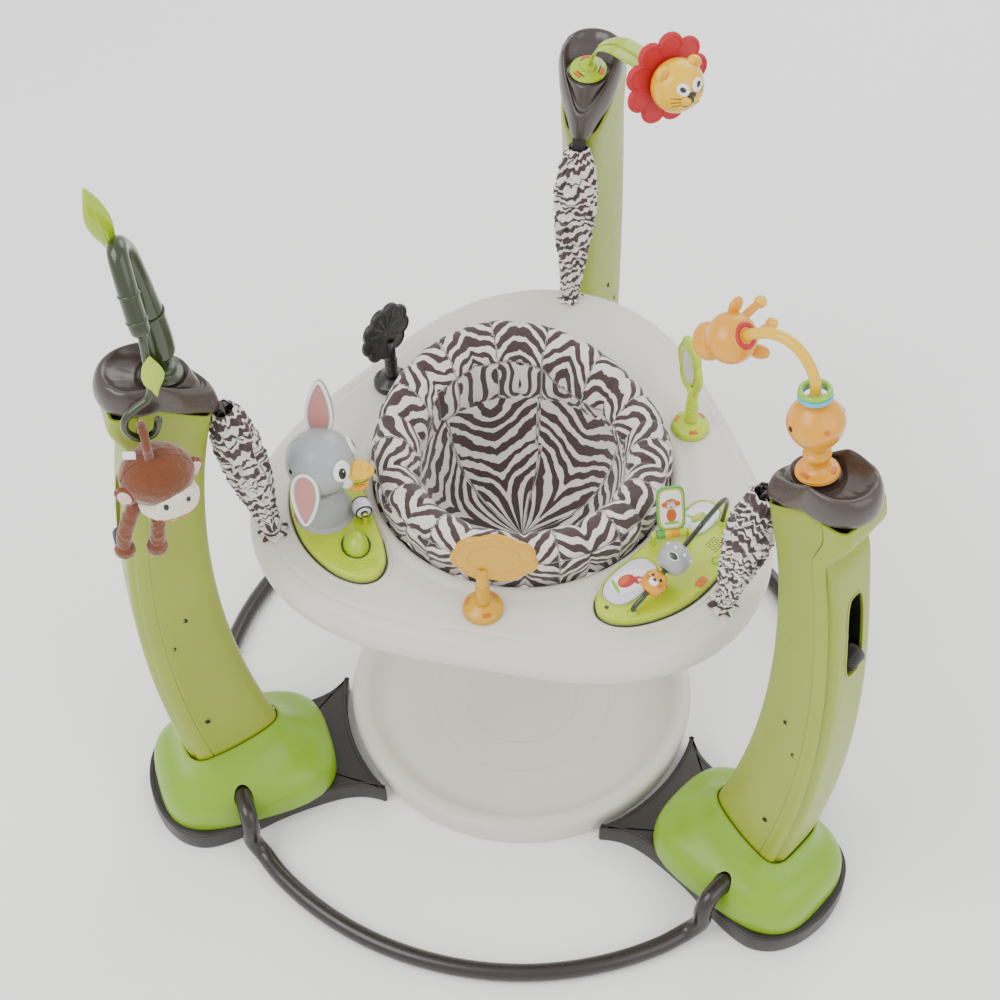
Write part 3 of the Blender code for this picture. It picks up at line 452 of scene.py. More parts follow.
GREY = plastic("grey_shell", srgb(160, 162, 165), rough=0.32, coat=0.25, depth=0.04)
WHITE = plastic("white_shell", srgb(238, 238, 236), rough=0.30, coat=0.25, depth=0.02)
LILAC = plastic("lilac_lens", srgb(214, 212, 226), rough=0.22, coat=0.5, depth=0.03)
PINK = plastic("pink_inner", srgb(192, 128, 120), rough=0.45)
YELLOW = plastic("yellow_shell", srgb(232, 182, 0), rough=0.26, coat=0.35)
ORANGE = plastic("orange_shell", srgb(222, 150, 0), rough=0.28, coat=0.35)
GOLD = plastic("gold_panel", srgb(206, 154, 0), rough=0.28, coat=0.3)
AMBER = plastic("amber_clip", srgb(200, 104, 4), rough=0.34, coat=0.2)
BLACK = plastic("black_shell", srgb(22, 22, 22), rough=0.30, coat=0.3, depth=0.2)
# Painted shade: a near-black colour laid as thin films in holes, slots and cut-outs, where the plastic lies in
# shade.
HOLE_SHADE = plastic("painted_hole_shade", srgb(24, 26, 14), rough=0.7, coat=0.0)
BLUE = plastic("blue_ring", srgb(60, 176, 214), rough=0.25, coat=0.4)
LEAF_GREEN = plastic("leaf_ring", srgb(130, 190, 30), rough=0.25, coat=0.4)
FRAME_GREEN = plastic("frame_green", srgb(72, 168, 72), rough=0.28, coat=0.3)
# Olive plastic of the vine and the bead wire; also used as painted shade in gaps, wells, slots and holes.
OLIVE_AND_HOLE_SHADE = plastic("olive_vine_and_hole_shade", srgb(34, 46, 10), rough=0.20, coat=0.5, depth=0.15)
RED = plastic("red_mane", srgb(180, 22, 34), rough=0.55, coat=0.0)
RED_PRINT = plastic("red_print", srgb(186, 28, 34), rough=0.4, coat=0.1)
BROWN_PRINT = plastic("brown_print", srgb(196, 98, 32), rough=0.4, coat=0.1)
ZEBRA_DARK, ZEBRA_LIGHT = srgb(66, 50, 50), srgb(226, 219, 214)
SEAT_ZEBRA = zebra_cloth("seat_zebra", 0.019, 0.75, 0.045, ZEBRA_DARK, ZEBRA_LIGHT)
SLEEVE_ZEBRA = zebra_cloth("sleeve_zebra", 0.016, 0.35, 0.050, ZEBRA_DARK, ZEBRA_LIGHT)
WEBBING = webbing_cloth("black_webbing", srgb(34, 30, 30))
PLUSH = plush_cloth("brown_plush", srgb(112, 58, 24))
PLUSH_PALE = plush_cloth("cream_plush", srgb(236, 226, 206))
PLUSH_PINK = plush_cloth("pink_plush", srgb(226, 190, 176))


def steel_wire():
    look = Look("spring_steel", Metallic=1.0)
    look.use("Base Color", look.mix(look.noise(80, 2), srgb(150, 152, 156), srgb(196, 198, 202)))
    look.use("Roughness", look.span(look.noise(200, 3), 0.3, 0.7, 0.22, 0.38))
    look.relief((look.noise(900, 2), 0.00003))
    return look.material


def mirror_film():
    look = Look("mirror_film", Metallic=1.0)
    look.use("Base Color", look.mix(look.noise(20, 2), srgb(206, 212, 214), srgb(226, 230, 232)))
    look.use("Roughness", look.span(look.noise(30, 2), 0.3, 0.7, 0.04, 0.09))
    look.relief((look.noise(14, 1), 0.0006))
    return look.material


STEEL = steel_wire()
MIRROR = mirror_film()


# ---- floor, light and camera ----
def make_studio():
    look = Look("studio_floor", Roughness=0.9)
    look.use("Base Color", look.mix(look.noise(0.8, 2), srgb(253, 253, 252), srgb(255, 255, 254)))
    floor = skin("studio_floor", [[(-40, -40, 0), (40, -40, 0)], [(-40, 40, 0), (40, 40, 0)]],
                 open_rings=True)
    floor.data.materials.append(look.material)
    world = bpy.data.worlds.new("studio")
    world.use_nodes = True
    world.node_tree.nodes["Background"].inputs["Color"].default_value = (1.0, 1.0, 1.0, 1.0)
    world.node_tree.nodes["Background"].inputs["Strength"].default_value = 1.25
    bpy.context.scene.world = world
    lamps = (("key", (-1.6, -1.5, 3.0), 64, 2.2), ("fill", (2.4, -1.2, 2.2), 26, 2.4),
             ("rim", (0.8, 2.6, 2.4), 32, 2.0))
    for name, place, power, size in lamps:
        lamp = bpy.data.lights.new(name, "AREA")
        lamp.energy = power
        lamp.size = size
        obj = bpy.data.objects.new(name, lamp)
        obj.location = place
        obj.rotation_euler = (Vector((0, 0, 0.4)) - Vector(place)).to_track_quat("-Z", "Y").to_euler()
        bpy.context.scene.collection.objects.link(obj)


def make_camera():
    azimuth, elevation, distance = radians(11.73), radians(48.2), 2.463
    back = Vector((sin(azimuth) * cos(elevation), -cos(azimuth) * cos(elevation), sin(elevation)))
    data = bpy.data.cameras.new("camera")
    data.lens = 73.48
    data.sensor_width = 36.0
    data.shift_x, data.shift_y = -0.0219, -0.0336
    camera = bpy.data.objects.new("camera", data)
    camera.location = Vector((0, 0, 0.49)) + back * distance
    camera.rotation_euler = (-back).to_track_quat("-Z", "Y").to_euler()
    bpy.context.scene.collection.objects.link(camera)
    bpy.context.scene.camera = camera


# ---- stand ----
def make_foot_pad():
    profile = [(0.0, 0.0125), (0.050, 0.0124), (0.0735, 0.0122), (0.075, 0.0117), (0.0765, 0.0122),
               (0.118, 0.0120), (0.1195, 0.0115), (0.121, 0.0120), (0.152, 0.0121), (0.166, 0.0126),
               (0.178, 0.0145), (0.191, 0.0200), (0.201, 0.0300), (0.207, 0.0382), (0.212, 0.0425),
               (0.218, 0.0448), (0.225, 0.0444), (0.2295, 0.0415), (0.2318, 0.0360),
               (0.2312, 0.0250), (0.2285, 0.0110), (0.2255, 0.0020), (0.2235, 0.0), (0.212, 0.0),
               (0.100, 0.0), (0.0, 0.0)]
    pad = lathe("foot_pad_dish", profile, 144, rounds=3)
    dress(pad, CREAM, "stand", ["foot_pad"])


def make_base_plate(side):
    tip = radians(23.5)
    arc = [(0.2405 * cos(tip * k / 4), 0.2405 * sin(tip * k / 4)) for k in range(5)]
    flank = [(0.232, 0.0905), (0.252, 0.0805), (0.280, 0.0755), (0.320, 0.0765), (0.360, 0.081),
             (0.400, 0.0895), (0.440, 0.0945), (0.468, 0.0915), (0.491, 0.076), (0.506, 0.052),
             (0.5135, 0.026), (0.516, 0.0)]
    outline = spline(mirrored(arc + flank), 4, closed=True)
    piece = plate("base_plate_moulding_" + side, outline, 0.0, PLATE_TOP, 0.003, place=turn(side))
    dress(piece, DARK, "stand", ["base_plate_" + side])
    inset = moved_outline(outline, -0.0052)
    ridge = hoop("base_plate_ridge_" + side, inset, 0.0022, PLATE_TOP - 0.0011, 0.0018,
                 place=turn(side))
    dress(ridge, DARK, "stand")


def inner_x(z):
    return 0.386 - 0.43 * (z - 0.46) ** 2


def outer_x(z):
    return 0.488 - 0.36 * (z - 0.41) ** 2 + 0.024 * smoothstep((z - 0.695) / 0.05)


def tower_half_width(z):
    return 0.0435 - 0.005 * z


SHOULDER_SHARE = 0.55
SHOULDER_X = inner_x(RIM_Z) + SHOULDER_SHARE * (outer_x(RIM_Z) - inner_x(RIM_Z))
INNER_SECTION = [(0.748, 0.97), (SHOULDER_SHARE, 0.85), (0.30, 0.63), (0.12, 0.42), (0.035, 0.26),
                 (0.0, 0.09)]
OUTER_SECTION = [(0.756, 0.97), (0.85, 1.0), (0.93, 0.94), (0.985, 0.74), (1.0, 0.42)]


def edge_z(x):
    """Height of the tower's top edge, rising in a straight line from the nose to the shoulder and level beyond
    it.
    """
    share = (x - NOSE_X) / (SHOULDER_X - NOSE_X)
    return NOSE_Z + (RIM_Z - NOSE_Z) * min(share, 1.0)


def section_point(share, width, z):
    fullness = 1 - 0.4 * smoothstep((z - 0.60) / 0.12)
    y = abs(width) ** fullness * tower_half_width(z) * (1 if width > 0 else -1)
    return Vector((inner_x(z) + share * (outer_x(z) - inner_x(z)), y, z))


def full_section(section, steps=5):
    line = section + [(share, -width) for share, width in reversed(section)]
    return spline(line, steps)


def tower_rows(section, count, groove):
    """Fine rows of the wall from the foot to the cap; groove adds the outer face's relief."""
    rows = []
    for i in range(count + 1):
        row = []
        for share, width in section:
            top = NOSE_Z
            for _ in range(10):
                top = edge_z(section_point(share, width, top).x)
            top -= 0.0009
            z = 0.034 + (top - 0.034) * i / count
            point = section_point(share, width, z)
            point.x -= groove(width, z)
            row.append(point)
        rows.append(row)
    return rows


def outer_groove(width, z):
    """A valley on each side of the raised back panel, and the scoop under the rim."""
    below = 1 - smoothstep((z - 0.685) / 0.03)
    valley = 0.0068 * bump(abs(width) - 0.84, 0.080) * below * smoothstep((z - 0.10) / 0.05)
    scoop = 0.0105 * bump(z - 0.712, 0.016) * smoothstep((0.95 - abs(width)) / 0.4)
    return valley + scoop


def flank_groove(width, z):
    return -0.0004 * bump(abs(width) - 0.60, 0.05) * smoothstep((z - 0.10) / 0.1)


def make_tower(side):
    for label, section, groove, material, count in (
            ("inner", INNER_SECTION, flank_groove, GREEN, 70),
            ("outer", OUTER_SECTION, outer_groove, GREEN_LIGHT, 110)):
        rows = tower_rows(full_section(section), count, groove)
        if label == "outer":
            rows = [list(reversed(row)) for row in rows]
        shell = skin("tower_%s_shell_%s" % (label, side), rows, open_rings=True)
        centre = Vector((0.43, 0, 0.4))
        face = shell.data.polygons[0]
        if face.normal.dot(face.center - centre) < 0:
            shell.data.flip_normals()
        modifier(shell, "SOLIDIFY", thickness=0.003, offset=-1.0)
        bpy.context.view_layer.update()
        apply_modifiers(shell)
        if label == "outer":
            cut_slot(shell)
        shell.data.transform(turn(side))
        dress(shell, material, "stand", ["tower_%s_%s" % (label, side)])
    make_slot_fittings(side)


def slot_outline(grow, count=48):
    """A D-shaped opening, in the outer face's own axes: x up, y across."""
    middle = (SLOT_Z[0] + SLOT_Z[1]) / 2
    points = superellipse(0, 0, (SLOT_Z[1] - SLOT_Z[0]) / 2 + grow, 0.014 + grow, 4.0, count)
    result = []
    for p in points:
        lean = 0.0012 * smoothstep(p.x / 0.06) * (1 if p.y < 0 else 0)
        result.append(Vector((p.x, p.y + lean)))
    return result, middle


def cut_slot(shell):
    outline, middle = slot_outline(0.0)
    rings = [[(x, p.y, middle + p.x) for p in outline] for x in (0.45, 0.51)]
    cut(shell, skin("slot_cutter", rings))
    for x, z, y in ((0.468, 0.716, 0.0), ):
        pocket = ball("rim_pocket", (0.007, 0.012, 0.0028), at((x, y, z)))
        cut(shell, pocket)


def make_slot_fittings(side):
    place = turn(side)
    outline, middle = slot_outline(0.0012)
    lip = []
    for k in range(10):
        a = 2 * pi * k / 10
        ring = []
        for p in moved_outline(outline, 0.0016 * cos(a)):
            z = middle + p.x
            ring.append((outer_x(z) + 0.0002 + 0.0010 * sin(a), p.y, z))
        lip.append(ring)
    piece = skin("slot_lip_" + side, lip, closed_path=True, place=place)
    dress(piece, GREEN_LIGHT, "stand")
    inner = slot_outline(0.0010)[0]
    liner = [[(outer_x(middle + p.x) - depth, p.y * squeeze, middle + p.x * squeeze) for p in inner]
             for depth, squeeze in ((0.0032, 1.0), (0.020, 0.985), (0.024, 0.9), (0.0245, 0.4))]
    piece = skin("slot_liner_" + side, liner, caps=(False, True), place=place)
    dress(piece, BLACK, "stand")
    teeth = 9
    for k in range(teeth):
        z = SLOT_Z[0] + 0.036 + 0.0085 * k
        tooth = plate("slot_rack_%s_%d" % (side, k), superellipse(0, 0, 0.0030, 0.0010, 3, 16),
                      -0.003, 0.003, 0.0006, place=place @ at((outer_x(z) - 0.0110, -0.0127, z),
                                                              (0, 0, 1)))
        dress(tooth, DARK, "stand")
    make_adjuster(side, place)
    for z, share in ((0.20, 0.62), (0.36, 0.66), (0.40, 0.45)):
        for sign in (1, -1):
            spot = section_point(share, 0.9, z)
            y = section_width(share, z) * sign
            screw = lathe("tower_screw_%s_%d_%s" % (side, int(z * 100), "a" if sign > 0 else "b"),
                          [(0.0, 0.0002), (0.0022, 0.0002), (0.0026, 0.0007), (0.0032, 0.0009),
                           (0.0034, 0.0), (0.0, -0.0008)], 24,
                          place=place @ at((spot.x, y, z), (0, sign, 0)), rounds=2)
            # Painted shade: the screw recess is coloured near-black for the shade inside it.
            dress(screw, HOLE_SHADE, "stand")


def section_width(share, z):
    """Half width of the wall at a share of the depth."""
    line = full_section(INNER_SECTION)
    best = min(line, key=lambda p: abs(p[0] - share) if p[1] > 0 else 9.0)
    return section_point(best[0], best[1], z).y


def make_adjuster(side, place):
    """The strap's free end, rolled up: a spiral of webbing seen from its edge."""
    centre = Vector((outer_x(KNOB_Z) - 0.004, 0, KNOB_Z))
    spiral = []
    turns, steps = 3.6, 90
    for k in range(steps + 1):
        a = 2 * pi * turns * k / steps
        radius = 0.0028 + 0.0094 * k / steps
        spiral.append(centre + Vector((cos(a) * radius, 0, sin(a) * radius)))
    rings = []
    for k, point in enumerate(spiral):
        out = (point - centre).normalized() * 0.00075
        rings.append([point + out * s + Vector((0, y, 0)) for s, y in
                      ((-1, -0.0105), (1, -0.0105), (1, 0.0), (1, 0.0105), (-1, 0.0105), (-1, 0.0))])
    roll = skin("strap_roll_" + side, rings, place=place)
    dress(roll, WEBBING, "adjuster_" + side, ["strap_adjuster_" + side])
    strap = [Vector((centre.x - 0.0115, 0, z)) for z in (KNOB_Z + 0.002, KNOB_Z + 0.012, 0.556)]
    band = ribbon("strap_end_" + side, strap, 0.0095, 0.0016, [(0, 1, 0)] * 3, place)
    dress(band, WEBBING, "adjuster_" + side)


def foot_edge(direction):
    across = (abs(cos(direction)) / FOOT_HALF_LENGTH) ** FOOT_POWER
    along = (abs(sin(direction)) / FOOT_HALF_WIDTH) ** FOOT_POWER
    reach = (across + along) ** (-1 / FOOT_POWER)
    return Vector((FOOT_CENTRE + reach * cos(direction), reach * sin(direction), 0))


def collar_outline(z, grow):
    half = list(reversed(OUTER_SECTION)) + INNER_SECTION[1:]
    whole = spline(half + [(share, -width) for share, width in reversed(half)], 4, closed=True)
    points = [section_point(share, width, z).to_2d() for share, width in whole]
    return moved_outline(points, grow)


def make_foot_cover(side):
    stages = [(PLATE_TOP + 0.0003, 0.0), (0.040, 0.0), (0.052, 0.02), (0.062, 0.08), (0.071, 0.20),
              (0.078, 0.34), (0.085, 0.52), (0.094, 0.70), (0.106, 0.86), (0.118, 0.95),
              (0.128, 1.0)]
    rows = []
    for z, amount in spline(stages, 3):
        ring = []
        for point in collar_outline(z, 0.0045):
            edge = foot_edge(atan2(point.y, point.x - FOOT_CENTRE)).to_2d()
            mixed = edge.lerp(point, amount)
            ring.append((mixed.x, mixed.y, z))
        rows.append(ring)
    cover = skin("foot_shell_" + side, rows, caps=(False, False))
    if cover.data.polygons[0].normal.dot(cover.data.polygons[0].center - Vector((0.39, 0, 0))) < 0:
        cover.data.flip_normals()
    modifier(cover, "SOLIDIFY", thickness=0.003, offset=-1.0)
    bpy.context.view_layer.update()
    apply_modifiers(cover)
    for sign in (1, -1):
        hole = lathe("tube_hole", [(TUBE_RADIUS + 0.0008, -0.03), (TUBE_RADIUS + 0.0008, 0.03)], 40,
                     place=at((0.405, sign * 0.092, TUBE_ENTRY_Z), (0, 1, 0)), rounds=1)
        cut(cover, hole)
    cover.data.transform(turn(side))
    dress(cover, GREEN_FOOT, "stand", ["foot_cover_" + side])
    line = hoop("foot_seam_" + side, collar_outline(0.128, 0.0028), 0.0022, 0.1268, 0.0016,
                place=turn(side))
    dress(line, GREEN_FOOT, "stand")


def make_base_tube(name, angle):
    half = [(0.418 * cos(radians(7.2 * k)), 0.418 * sin(radians(7.2 * k)), TUBE_RADIUS + 0.0002)
            for k in range(6)]
    half.append((0.417 * cos(radians(41.5)), 0.417 * sin(radians(41.5)), TUBE_RADIUS + 0.0022))
    out = Vector((cos(radians(60)), sin(radians(60)), 0))
    along = Vector((-sin(radians(60)), cos(radians(60)), 0))
    for x, y, z in ((0.406, -0.1175, 0.032), (0.405, -0.114, 0.054), (0.405, -0.1045, 0.068),
                    (0.405, -0.092, TUBE_ENTRY_Z), (0.405, -0.0725, TUBE_ENTRY_Z)):
        half.append(tuple(out * x + along * y + Vector((0, 0, z))))
    path = [(x, -y, z) for x, y, z in reversed(half[1:])] + half
    piece = tube(name + "_bar", path, TUBE_RADIUS, Matrix.Rotation(radians(angle), 4, "Z"),
                 sides=24, steps=5)
    dress(piece, TUBE_DARK, "stand", [name])


CAP_HALF = [(0.4750, 0.0), (0.4690, 0.021), (0.4530, 0.0355), (0.4320, 0.0405),
            (SHOULDER_X, 0.0390), (0.3900, 0.0315), (0.3700, 0.0205), (0.3570, 0.0130),
            (0.3500, 0.0065), (0.3480, 0.0)]


def make_cap(side):
    outline = spline(mirrored(CAP_HALF), 5, closed=True)
    crest = CAP_TOP - RIM_Z

    def egg(scale, lift):
        ring = []
        for p in outline:
            x = SOCKET_X + (p.x - SOCKET_X) * scale
            ring.append(Vector((x, p.y * scale, edge_z(x) + lift)))
        return ring

    def bowl(radius, z):
        ring = []
        for p in outline:
            a = atan2(p.y, p.x - SOCKET_X)
            ring.append(Vector((SOCKET_X + radius * cos(a), radius * sin(a), z)))
        return ring

    rings = [egg(0.90, 0.0004), egg(0.985, 0.0004), egg(1.012, 0.003), egg(1.022, 0.010),
             egg(1.010, 0.019), egg(0.975, 0.027), egg(0.925, crest - 0.003), egg(0.865, crest),
             egg(0.800, crest - 0.003), egg(0.745, crest - 0.010), bowl(0.0290, SOCKET_Z + 0.005),
             bowl(0.0275, SOCKET_Z + 0.001), bowl(0.0240, SOCKET_Z), bowl(0.012, SOCKET_Z)]
    count = len(rings)
    for k, ring in enumerate(rings):
        share = k / (count - 1)
        for p in ring:
            a = atan2(p.y, p.x - SOCKET_X)
            swirl = (a - 2.2 + 3.2 * share) % (2 * pi)
            if 4 <= k <= 10:
                p.z -= 0.0030 * exp(-swirl / 0.55) * bump(k - 7, 2.6)
    cap = skin("cap_moulding_" + side, rings, caps=(False, True), place=turn(side))
    subdivide(cap, 1)
    dress(cap, CAP_BROWN, "stand", ["tower_cap_" + side])
    strap = [(0.3565, 0, 0.7165), (0.3490, 0, 0.7135), (0.3440, 0, 0.7060), (0.3425, 0, 0.6960)]
    band = ribbon("nose_webbing_" + side, strap, 0.0085, 0.0018, [(0, 1, 0)] * 4, turn(side))
    dress(band, WEBBING, "stand")


# ---- spring sleeves ----
SLEEVE_TOP = Vector((0.3445, 0.0, 0.706))
SLEEVE_END = Vector((0.3090, 0.0, 0.4885))


def set_cloth(obj, rule):
    """Stores each vertex's place on the flat cloth, for the printed pattern."""
    layer = obj.data.attributes.new("cloth", "FLOAT_VECTOR", "POINT")
    for vertex, item in zip(obj.data.vertices, layer.data):
        item.vector = rule(vertex.co)


def make_sleeve(side, seed):
    """Cloth gathered over the spring: hundreds of small folds, tied off in a tuft."""
    axis = SLEEVE_TOP - SLEEVE_END
    length = axis.length
    place = turn(side) @ at(SLEEVE_END, axis)
    rows, columns = 230, 96
    rings, cloth = [], []
    shape = spline([(-0.018, 0.0150), (-0.010, 0.0120), (0.0, 0.0085), (0.05, 0.0105), (0.2, 0.0130),
                    (0.4, 0.0185), (0.62, 0.0220), (0.82, 0.0195), (0.94, 0.0150),
                    (1.0, 0.0115)], 30)
    for i in range(rows):
        share, base = shape[int(i * (len(shape) - 1) / (rows - 1))]
        z = share * length
        for k in range(columns):
            a = 2 * pi * k / columns
            spot = Vector((cos(a) * 2.1, sin(a) * 2.1, share * 11 + seed * 9))
            fold = 1 - abs(noise.noise(spot + Vector((0, 0, 0.6 * sin(3 * a + seed)))) * 2.6)
            small = noise.noise(Vector((spot.x * 2.3, spot.y * 2.3, spot.z * 2.6)))
            amount = smoothstep((share + 0.05) / 0.12) * smoothstep((1.03 - share) / 0.08)
            tuft = 0.18 * sin(a * 7 + seed) * smoothstep(-share / 0.015)
            radius = base * (1.1 + amount * (0.26 * fold + 0.12 * small - 0.06) + tuft)
            drop = 0.0035 * noise.noise(spot * 0.9) * amount
            rings.append((radius * cos(a), radius * sin(a), z + drop))
            cloth.append((abs(a - pi) * 0.026, share * 0.30 + 0.006 * small, seed * 0.3))
    rings = [rings[i * columns:(i + 1) * columns] for i in range(rows)]
    sleeve = skin("sleeve_cloth_" + side, rings, caps=(False, False), place=place)
    layer = sleeve.data.attributes.new("cloth", "FLOAT_VECTOR", "POINT")
    for item, value in zip(layer.data, cloth):
        item.vector = value
    modifier(sleeve, "SOLIDIFY", thickness=0.0007, offset=-1.0)
    bpy.context.view_layer.update()
    apply_modifiers(sleeve)
    coil = []
    for i in range(13 * 16 + 1):
        a = 2 * pi * i / 16
        coil.append((0.0072 * cos(a), 0.0072 * sin(a), 0.020 + (length - 0.040) * i / (13 * 16)))
    spring = tube("spring_coil_" + side, coil, 0.0012, place, sides=8, steps=1)
    tie = tube("sleeve_tie_" + side, [(0.0095 * cos(a), 0.0095 * sin(a), 0.0015 * sin(2 * a))
                                      for a in (2 * pi * k / 16 for k in range(16))], 0.0016,
               place, closed=True, sides=8, steps=2)
    for piece, material, slot, nodes in (
            (sleeve, SLEEVE_ZEBRA, "zebra_fabric", ["spring_sleeve_" + side]),
            (spring, STEEL, "spring_steel", ["tension_spring_" + side])):
        piece.data.materials.clear()
        piece.data.materials.append(material)
        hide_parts(*nodes)
        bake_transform(piece)
    dress(tie, WEBBING, "tray_assembly")


# ---- tray ----
def tray_radius(angle):
    return TRAY_RADIUS + TRAY_WAVE * cos(3 * (angle - pi / 2))


def make_tray():
    count = 216
    angles = [2 * pi * i / count for i in range(count)]
    rim = [(0.0085, TRAY_BOTTOM), (0.0060, TRAY_BOTTOM), (0.0035, 0.440), (0.0006, 0.452),
           (0.0, 0.458), (0.0008, 0.466), (0.0035, 0.4735), (0.0085, 0.4785), (0.0145, 0.4812),
           (0.0195, 0.4822), (0.0212, 0.4818), (0.0228, 0.4822), (0.0265, 0.4838),
           (0.032, 0.4840), (0.050, 0.4840)]
    rings = [[((tray_radius(a) - inset) * cos(a), (tray_radius(a) - inset) * sin(a), z)
              for a in angles] for inset, z in spline(rim, 2)]
    for share in (0.25, 0.5, 0.75):
        ring = []
        for a in angles:
            radius = (tray_radius(a) - 0.050) * (1 - share) + 0.2005 * share
            ring.append((radius * cos(a), radius * sin(a), TRAY_TOP))
        rings.append(ring)
    lip = [(0.2005, TRAY_TOP), (0.1975, 0.4845), (0.1945, 0.4862), (0.1905, 0.4872),
           (0.1865, 0.4872), (0.1830, 0.4858), (0.1808, 0.4825), (0.1802, 0.476),
           (0.1800, 0.462), (HOLE_RADIUS, LEDGE_Z), (0.168, LEDGE_Z), (0.168, LEDGE_Z - 0.0035),
           (0.1835, LEDGE_Z - 0.0035), (0.1838, 0.478), (0.200, 0.4805)]
    for radius, z in lip:
        rings.append([(radius * cos(a), radius * sin(a), z) for a in angles])
    for inset, z in ((0.030, 0.4803), (0.014, 0.4775), (0.0065, 0.468), (0.0036, 0.456)):
        rings.append([((tray_radius(a) - inset) * cos(a), (tray_radius(a) - inset) * sin(a), z)
                      for a in angles])
    tray = skin("tray_moulding", rings, closed_path=True)
    dress(tray, CREAM, "tray_assembly", ["tray"])
    for side in TOWERS:
        place = turn(side)
        eye = plate("tray_strap_plate_" + side, superellipse(0.309, 0, 0.010, 0.015, 2.6, 40),
                    TRAY_TOP, TRAY_TOP + 0.0022, 0.0009, place=place)
        dress(eye, CREAM, "tray_assembly")
        # Painted shade: a thin dark film on the strap plate stands for the shade inside the strap slot.
        gap = plate("tray_strap_slot_" + side, superellipse(0.309, 0, 0.0022, 0.0105, 4, 32),
                    TRAY_TOP + 0.0018, TRAY_TOP + 0.0025, 0.0002, place=place)
        dress(gap, HOLE_SHADE, "tray_assembly")


def make_seat_ring():
    ring = lathe("turntable_ring", [(0.1785, 0.4672), (0.1785, LEDGE_Z + 0.0006),
                                    (0.1692, LEDGE_Z + 0.0006), (0.1692, 0.4672)], 144, closed=True,
                 rounds=1)
    modifier(ring, "BEVEL", width=0.0008, segments=2, limit_method="ANGLE")
    dress(ring, DARK, "seat", ["seat_ring"])
    for k in range(24):
        a = 2 * pi * k / 24
        clip = plate("turntable_clip_%02d" % k, superellipse(0, 0, 0.0016, 0.007, 4, 20), 0.4672,
                     0.4700, 0.0006, place=Matrix.Rotation(a, 4, "Z") @ at((0.1752, 0, 0)))
        dress(clip, BLACK, "seat")


PAD_CENTRE_RADIUS, PAD_CENTRE_Z = 0.1530, 0.5010
PANELS = 14                     # sewn panels round the seat


def seat_rise(angle):
    return 0.045 * max(0.0, -cos(angle - SEAT_FRONT)) ** 1.5


def pad_section(angle, co):
    """A point's turn round the pad's cross-section, and its reach from the middle."""
    radius = (co.x ** 2 + co.y ** 2) ** 0.5
    lift = seat_rise(angle) * smoothstep((co.z - 0.49) / 0.05)
    return atan2(co.z - lift - PAD_CENTRE_Z, radius - PAD_CENTRE_RADIUS)


def make_seat_pad():
    profile = [(0.1755, 0.4700), (0.1762, 0.486), (0.1810, 0.502), (0.1780, 0.521), (0.1630, 0.5365),
               (0.1440, 0.5345), (0.1300, 0.518), (0.1250, 0.495), (0.1260, 0.4705),
               (0.1500, 0.4690)]
    count = 120
    rings = []
    for radius, z in spline(profile, 3, closed=True):
        ring = []
        for i in range(count):
            a = 2 * pi * i / count
            lift = seat_rise(a) * smoothstep((z - 0.49) / 0.05)
            ring.append((radius * cos(a), radius * sin(a), z + lift))
        rings.append(ring)
    pad = skin("seat_pad", rings, closed_path=True)
    inflate(pad)
    sew(pad)
    set_cloth(pad, pad_cloth)
    pad.data.materials.clear()
    dress(pad, SEAT_ZEBRA, "seat", ["seat_fabric"])
    piping = []
    for k in range(72):
        a = 2 * pi * k / 72
        piping.append((0.1772 * cos(a), 0.1772 * sin(a), 0.4722))
    edge = tube("seat_piping", piping, 0.0019, closed=True, sides=10, steps=2)
    set_cloth(edge, lambda co: Vector((atan2(co.y, co.x) * 0.17, co.z, 0.7)))
    dress(edge, SEAT_ZEBRA, "seat")


def inflate(pad):
    """Remeshes the pad and fills it with air as cloth, with a cap on how far a point moves."""
    modifier(pad, "REMESH", mode="VOXEL", voxel_size=0.005)
    bpy.context.view_layer.update()
    apply_modifiers(pad)
    rest = [v.co.copy() for v in pad.data.vertices]
    cloth = pad.modifiers.new("cloth", "CLOTH")
    cloth.settings.use_pressure = True
    cloth.settings.uniform_pressure_force = 4.0
    cloth.settings.effector_weights.gravity = 0.0
    cloth.point_cache.frame_start = 1
    cloth.point_cache.frame_end = 20
    scene = bpy.context.scene
    for step in range(1, 21):
        scene.frame_set(step)
    apply_modifiers(pad)
    scene.frame_set(1)
    for vertex, start in zip(pad.data.vertices, rest):
        move = vertex.co - start
        if move.length > 0.006:
            vertex.co = start + move.normalized() * 0.006
    modifier(pad, "SUBSURF", levels=1, render_levels=1)
    bpy.context.view_layer.update()
    apply_modifiers(pad)
    pad.data.shade_smooth()


def sew(pad):
    """Pinches the radial seams and the seam between the top and the outer band."""
    for vertex in pad.data.vertices:
        co = vertex.co
        a = atan2(co.y, co.x)
        step = 2 * pi / PANELS
        off = ((a / step + 0.5) % 1.0 - 0.5) * step * (co.x ** 2 + co.y ** 2) ** 0.5
        angle = pad_section(a, co)
        seam = 0.0034 * bump(off, 0.0035) + 0.0012 * bump(off, 0.012)
        ring = 0.0034 * bump((angle - 0.62) * 0.030, 0.0035)
        wrinkle = 0.0011 * noise.noise(co * 55) + 0.0006 * noise.noise(co * 140)
        lift = seat_rise(a) * smoothstep((co.z - 0.49) / 0.05)
        middle = Vector((cos(a) * PAD_CENTRE_RADIUS, sin(a) * PAD_CENTRE_RADIUS, PAD_CENTRE_Z + lift))
        inward = (middle - co).normalized()
        vertex.co = co + inward * (max(seam, ring) - wrinkle)


